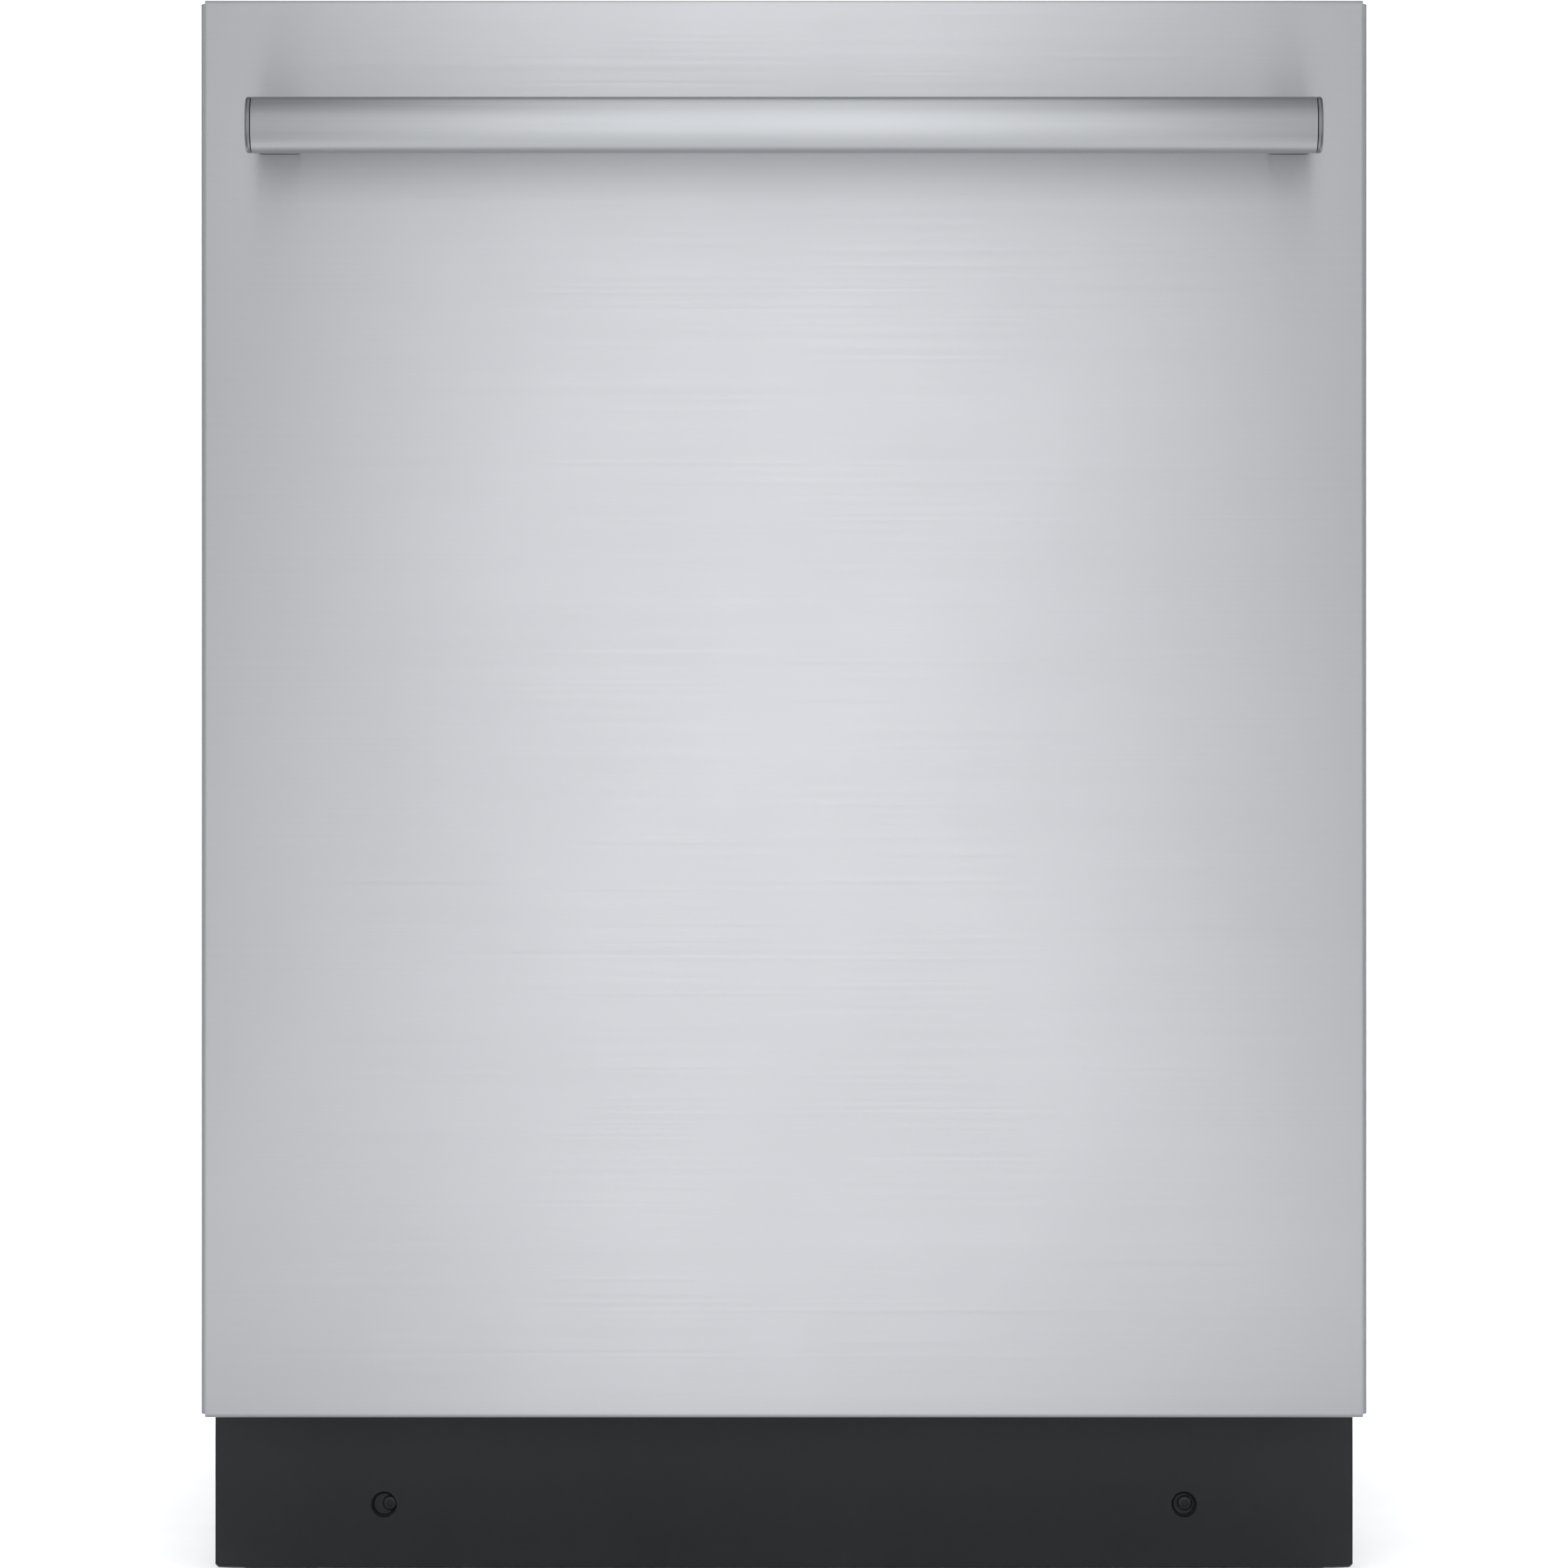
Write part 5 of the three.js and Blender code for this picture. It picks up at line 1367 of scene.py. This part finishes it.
upper_parts.append(smooth(turned("arm_spindle", "z", (0, ARM_Y), spindle, 44, caps=False), 40))
for y in (70, 160, 240):
    upper_parts.append(block("manifold_clip", (-6, 6), (y - 4, y + 4), (DOCK_Z + 7, UPPER_FLOOR + 5), 1.0))
upper_parts.append(rack_grip("upper_grip", (-211, -205.5), UPPER_RIM))
stands_for(merged("upper_rack_wire", *upper_parts), "upper_rack")

# %% Third rack
THIRD_FLOOR, THIRD_RIM = 704.0, span("third_rack")[2][1] - RIM_DROP
third_parts = wire_rack("third_rack", (-240, 240), RACK_Y, THIRD_FLOOR, THIRD_RIM, 27, 16, ())
for side in (-1, 1):
    third_parts += side_runner("third_runner", side, 242, "third_rail_left")
third_parts.append(rack_grip("third_grip", (-211, -205.5), THIRD_RIM))
stands_for(merged("third_rack_wire", *third_parts), "third_rack")

# %% Rails and their end caps
for node in [rail + "_rail_" + side for rail in ("upper", "third") for side in ("left", "right")]:
    dress(node, 0.25)
    x, y, z = span(node)
    for end, foot in (("front", y[0]), ("back", y[1] - 6)):
        stop = block(f"{node}_{end}_stop", grown(x, -0.6), (foot + 0.2, foot + 5.8), grown(z, -0.5), 1.2)
        goes_with(stop, node, "dark_plastic")
print("rack wire pieces:", len(lower_parts), len(upper_parts), len(third_parts))

# %% [markdown]
# ## Door springs
# Two long coils under the tub balance the door. One end hooks on the base, the other on the hinge lever, so the
# coil has to stretch as the door comes down. It is one path wound round the line between the two eyes.

# %% Springs
COIL_WIRE = 1.9
SLANT = 0.70710678  # the springs lean at 45 degrees


def wound(start, end, radius, turns, per_turn=14):
    """A helix from start to end, as points in millimetres."""
    axis = end - start
    first = axis.orthogonal().normalized()
    second = axis.normalized().cross(first)
    points = []
    total = turns * per_turn
    for k in range(total + 1):
        angle = math.tau * k / per_turn
        points.append(start + axis * (k / total) + radius * (math.cos(angle) * first + math.sin(angle) * second))
    return points


def door_spring(name):
    x, y, z = span("door_spring_" + name)
    radius = (x[1] - x[0]) / 2 - COIL_WIRE / 2
    inset = radius * SLANT + COIL_WIRE / 2
    low = Vector((mid(x), y[1] - inset, z[0] + inset))
    high = Vector((mid(x), y[0] + inset, z[1] - inset))
    coil = [list(p) for p in wound(low, high, radius, 30)]
    made = wires("balance_coil_" + name, [coil], COIL_WIRE, False, 2)
    finish_with(made, "zinc_plate")
    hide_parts("door_spring_" + name)
    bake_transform(made)
    plug = [list(low + (high - low) * (t / 10)) for t in range(-1, 2)]
    core = wires("coil_end_" + name, [plug], 2 * radius - 0.4, False, 4)
    finish_with(core, "zinc_plate")
    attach(core, "cabinet")


for side in ("left", "right"):
    door_spring(side)
    dress("spring_hook_" + side, 0.3)

# %% [markdown]
# ## The cabinet's sheet metal
# The sides, back and cross bar are zinc-coated sheet. Long ribs are pressed outwards or inwards to stop the big
# faces from drumming. The ribs go into the space behind the sheet, so the outer size stays the same.

# %% Side and back panels
def panel_relief(ribs, depth, width=9):
    return lambda u, v: depth * sum(soft_step(inside(u, v, box_u, box_v, 14), width) for box_u, box_v in ribs)


SIDE_RIBS = [((-150, 250), (low, low + 34)) for low in (250, 430, 610)]
SIDE_RIBS += [((-90, -30), (60, 190)), ((60, 200), (60, 190))]
BACK_RIBS = [((middle - 20, middle + 20), (164, 730)) for middle in (-150, 0, 150)]
PANEL_SHEET, PANEL_BEND = 0.7, 1.2
for side, name in SIDE_NAME.items():
    node = "side_panel_" + name
    x, y, z = span(node)
    outer = max(abs(x[0]), abs(x[1]))

    def on_side(u, v, depth):
        return (side * (outer - depth), u, v)

    panel = pressed_sheet(node + "_sheet", y, z, on_side, PANEL_BEND, 13.0, panel_relief(SIDE_RIBS, 1.8), 60, 90)
    thicken(panel, PANEL_SHEET, -side)
    stands_for(smooth(panel, 50), node)
    head = [(side * (outer - sunk), r) for sunk, r in ((1.2, 3.6), (0.5, 3.4), (0.1, 2.4), (0.1, 0.01))]
    for at_z in spread(z[0] + 60, z[1] - 40, 6):
        goes_with(smooth(turned("panel_rivet", "x", (y[1] - 14, at_z), head, 20)), node)
x, y, z = span("back_panel")


def on_back(u, v, depth):
    return (u, y[1] - depth, v)


back = pressed_sheet("back_sheet", x, z, on_back, PANEL_BEND, 16.0, panel_relief(BACK_RIBS, 3.5), 80, 80)
stands_for(smooth(thicken(back, PANEL_SHEET), 50), "back_panel")

# %% Cross bar and damping mat
dress("top_bar", 0.3)
mat_x, mat_y, mat_z = span("top_damping_mat")


def damping_mat():
    xs, ys = spread(*mat_x, 56), spread(*mat_y, 52)
    points = []
    for px in xs:
        for py in ys:
            edge = soft_step(inside(px, py, mat_x, mat_y, 12), 5)
            wave = 0.5 + 0.25 * math.sin(px / 17 + 1.3 * math.sin(py / 41))
            wave += 0.25 * math.sin(py / 13 + 1.7 * math.sin(px / 37))
            points.append((px, py, mat_z[1] - 0.1 - 1.2 * (1 - edge) - 0.8 * wave * edge))

    def past_edge(i, j):
        return inside(mid(xs[i:i + 2]), mid(ys[j:j + 2]), mat_x, mat_y, 12) < 0

    return smooth(thicken(shape("felt_mat", points, grid_faces(len(xs), len(ys), past_edge)), 2.0), 60)


stands_for(damping_mat(), "top_damping_mat")

# %% [markdown]
# ## The base
# The base is a deep moulded tray that catches leaks. It carries the legs, the pumps and the water valve. Ribs on
# a moulded tray stand along its walls, and each is a thin block with rounded edges.

# %% Base tray and its ribs
dress("base_pan", 0.8)
base_x, _, base_z = span("base_pan")
KICK_BACK = kick_y[0] + 14
for n, px in enumerate(spread(-240, 240, 9)):
    if abs(abs(px) - HOLE_X) > 24:
        rib_y, rib_z = (KICK_BACK - 3.4, KICK_BACK + 0.5), (base_z[0] + 6, base_z[1] - 4)
        goes_with(block(f"base_front_rib_{n}", (px - 1.2, px + 1.2), rib_y, rib_z, 0.6), "base_pan")
for side, name in SIDE_NAME.items():
    rib_x, rib_z = sided(side, base_x[1] - 3.5, base_x[1] - 9), (base_z[0] + 3, base_z[1] - 12)
    for n, py in enumerate(spread(-120, 240, 7)):
        goes_with(block(f"base_side_rib_{n}_{name}", rib_x, (py - 1.2, py + 1.2), rib_z, 0.8), "base_pan")

# %% Legs
# A leg is a threaded stem with a hexagon to turn it and a broad foot that won't mark the floor.
def levelling_leg(node):
    x, y, z = span(node)
    centre = (mid(x), mid(y))
    foot = [(0.4, 0.01), (0.0, 1.0), (0.0, 14.8), (1.0, 17.2), (2.4, 18.0), (5.0, 17.4)]
    foot += [(6.6, 15.0), (7.2, 10.0), (7.6, 6.0), (10.0, 4.6), (10.0, 0.01)]
    thread = [(9.8, 0.01), (9.8, 4.2)]
    height = 10.4
    while height < z[1] - 1.6:
        thread += [(height, 4.25), (height + 0.75, 4.95)]
        height += 1.5
    thread += [(z[1] - 0.8, 4.3), (z[1], 3.4), (z[1], 0.01)]
    nut = plate("nut", "z", (6.8, 11.0), circle(6, 9.0, centre), 0.6)
    parts = [smooth(turned("foot", "z", centre, foot, 44, caps=False), 50)]
    parts.append(smooth(turned("thread", "z", centre, thread, 28, caps=False), 50))
    stands_for(merged(node + "_screw", *parts, nut), node)


for node in ("leg_front_left", "leg_front_right", "leg_rear"):
    levelling_leg(node)

# %% Sump, pumps and valve
dress("sump", 0.8)
bolt = [(FLOOR - 5.4, 3.4), (FLOOR - 7.2, 3.4), (FLOOR - 7.8, 2.6), (FLOOR - 7.8, 0.01)]
bolt_places = circle(16, 115, (0.0, mid(span("sump")[1])))
for k, place in enumerate(bolt_places):
    goes_with(smooth(turned(f"sump_bolt_{k}", "z", place, bolt, 6), 20), "sump", "screw_black")
motor_case = [(42, 22), (44, 24), (60, 32.5), (64, 34), (66, 36.4), (67, 37), (72, 37), (73, 36.4), (74, 33.5)]
at_x = 78.0
while at_x < 146:
    motor_case += [(at_x, 34.0), (at_x + 2.4, 34.0), (at_x + 2.8, 32.6), (at_x + 5.2, 32.6)]
    at_x += 5.6
motor_case += [(150, 34), (153, 32.6), (157, 27.5), (158, 25), (158, 10), (156.5, 9.4), (156.5, 0.01)]
motor = smooth(turned("motor_body", "x", (68.0, 66.0), motor_case, 56), 35)
plug_box = block("motor_plug", (100, 124), (56, 80), (20, 36), 1.4)
stands_for(merged("wash_motor", motor, plug_box), "circulation_pump")
dress("drain_pump", 1.0)
drain_x = span("drain_pump")[0]
for n in range(7):
    fin_x = drain_x[0] + 5 + n * 4.4
    goes_with(block(f"drain_winding_{n}", (fin_x, fin_x + 2.2), (-95.5, -54.5), (39.5, 80.5), 0.7), "drain_pump")
dress("inlet_valve", 0.8)
dress("junction_box", 0.6)
box_x, _, box_z = span("junction_box")
screw_head = [(box_z[1] - 0.2, 3.2), (box_z[1] - 0.1, 3.0), (box_z[1] - 0.05, 0.01)]
for px in (box_x[0] + 9, box_x[1] - 9):
    goes_with(smooth(turned("box_screw", "z", (px, -115), screw_head, 20)), "junction_box")
print("base pieces done; loose bolts:", len(bolt_places))

# %% [markdown]
# ## Studio
# The studio is a round room whose floor curves up into its wall, so no horizon shows from any side. It is made in
# two halves. The half behind the machine is seen by mirrors, and gives the zinc panels something bright to reflect.
# The half in front isn't, so what the brushed door reflects is set by the lights alone: a tall strip behind the
# camera gives the broad bright band down its middle, and boxes at the sides lift its edges. Lights that only wash
# the room are hidden from mirrors for the same reason.

# %% Floor and backdrop
material, tree, shader = start_finish("studio_paper")
skin = use_group(tree, moulded_skin, Pebble=300.0)
paper = between(tree, skin.outputs["Cloud"], (0.87, 0.87, 0.87), (0.90, 0.90, 0.90))
tree.links.new(paper, shader.inputs["Base Color"])
shader.inputs["Roughness"].default_value = 0.9
ROOM_Y, FLAT, BEND, WALL_TOP = -250, 4800, 1800, 4600
bowl = [(0.1, 0), (FLAT, 0)]
for k in range(1, 13):
    angle = math.radians(90 * k / 12)
    bowl.append((FLAT + BEND * math.sin(angle), BEND * (1 - math.cos(angle))))
bowl.append((FLAT + BEND, WALL_TOP))


def half_room(name, first, mirrored):
    """Half of a round room with a curved foot, from the angle first to first + 180 degrees."""
    rings = []
    for k in range(49):
        angle = math.radians(first + 180 * k / 48)
        rings.append([(r * math.cos(angle), ROOM_Y + r * math.sin(angle), z) for r, z in bowl])
    made = loft(name, rings, caps=False, around=False)
    made.data.materials.append(material)
    made.visible_glossy = mirrored
    smooth(made)


half_room("studio_back_half", 0, True)
half_room("studio_front_half", 180, False)

# %% Lights
def soft_light(name, place, target, width, height, power, mirrored):
    data = bpy.data.lights.new(name, "AREA")
    data.shape = "RECTANGLE"
    data.size = width
    data.size_y = height
    data.energy = power
    light = bpy.data.objects.new(name, data)
    light.location = place
    light.rotation_euler = (Vector(target) - Vector(place)).to_track_quat("-Z", "Y").to_euler()
    light.visible_glossy = mirrored
    light.visible_camera = False
    bpy.context.scene.collection.objects.link(light)


# Name, place, target, width, height, watts, and whether mirrors see it.
LIGHTS = [
    ("front_strip", (0, -5.2, 1.62), (0, 0, 1.62), 1.2, 3.2, 22, True),
    ("front_wide", (0, -5.3, 1.62), (0, 0, 1.62), 3.6, 3.2, 16, True),
    ("floor_card", (0, -2.5, 0.02), (0, -2.5, 1.0), 0.9, 4.2, 13, True),
    ("left_box", (-3.6, -3.9, 1.65), (0, 0, 1.2), 2.0, 3.0, 25, True),
    ("right_box", (3.6, -3.9, 1.65), (0, 0, 1.2), 2.0, 3.0, 25, True),
    ("roof_strip", (0, -2.8, 3.3), (0, -2.8, 0), 0.8, 4.6, 16, True),
    ("overhead", (0, 0.6, 3.6), (0, 0.6, 0), 3.6, 3.0, 165, False),
    ("left_fill", (-3.2, -1.6, 1.6), (0, 0, 0.4), 1.2, 2.2, 8, False),
    ("right_fill", (3.2, -1.6, 1.6), (0, 0, 0.4), 1.2, 2.2, 8, False),
    ("back_wash", (0, 3.7, 4.3), (0, 4.9, 0), 6.0, 3.0, 125, False),
    ("front_wash", (0, -4.2, 4.3), (0, -5.6, 0), 6.0, 3.0, 130, False),
]
for light in LIGHTS:
    soft_light(*light)
world = bpy.data.worlds.new("studio_air")
world.use_nodes = True
world.node_tree.nodes["Background"].inputs["Color"].default_value = (0.95, 0.97, 1.0, 1)
world.node_tree.nodes["Background"].inputs["Strength"].default_value = 0.30
bpy.context.scene.world = world
bpy.context.scene.view_settings.view_transform = "Standard"
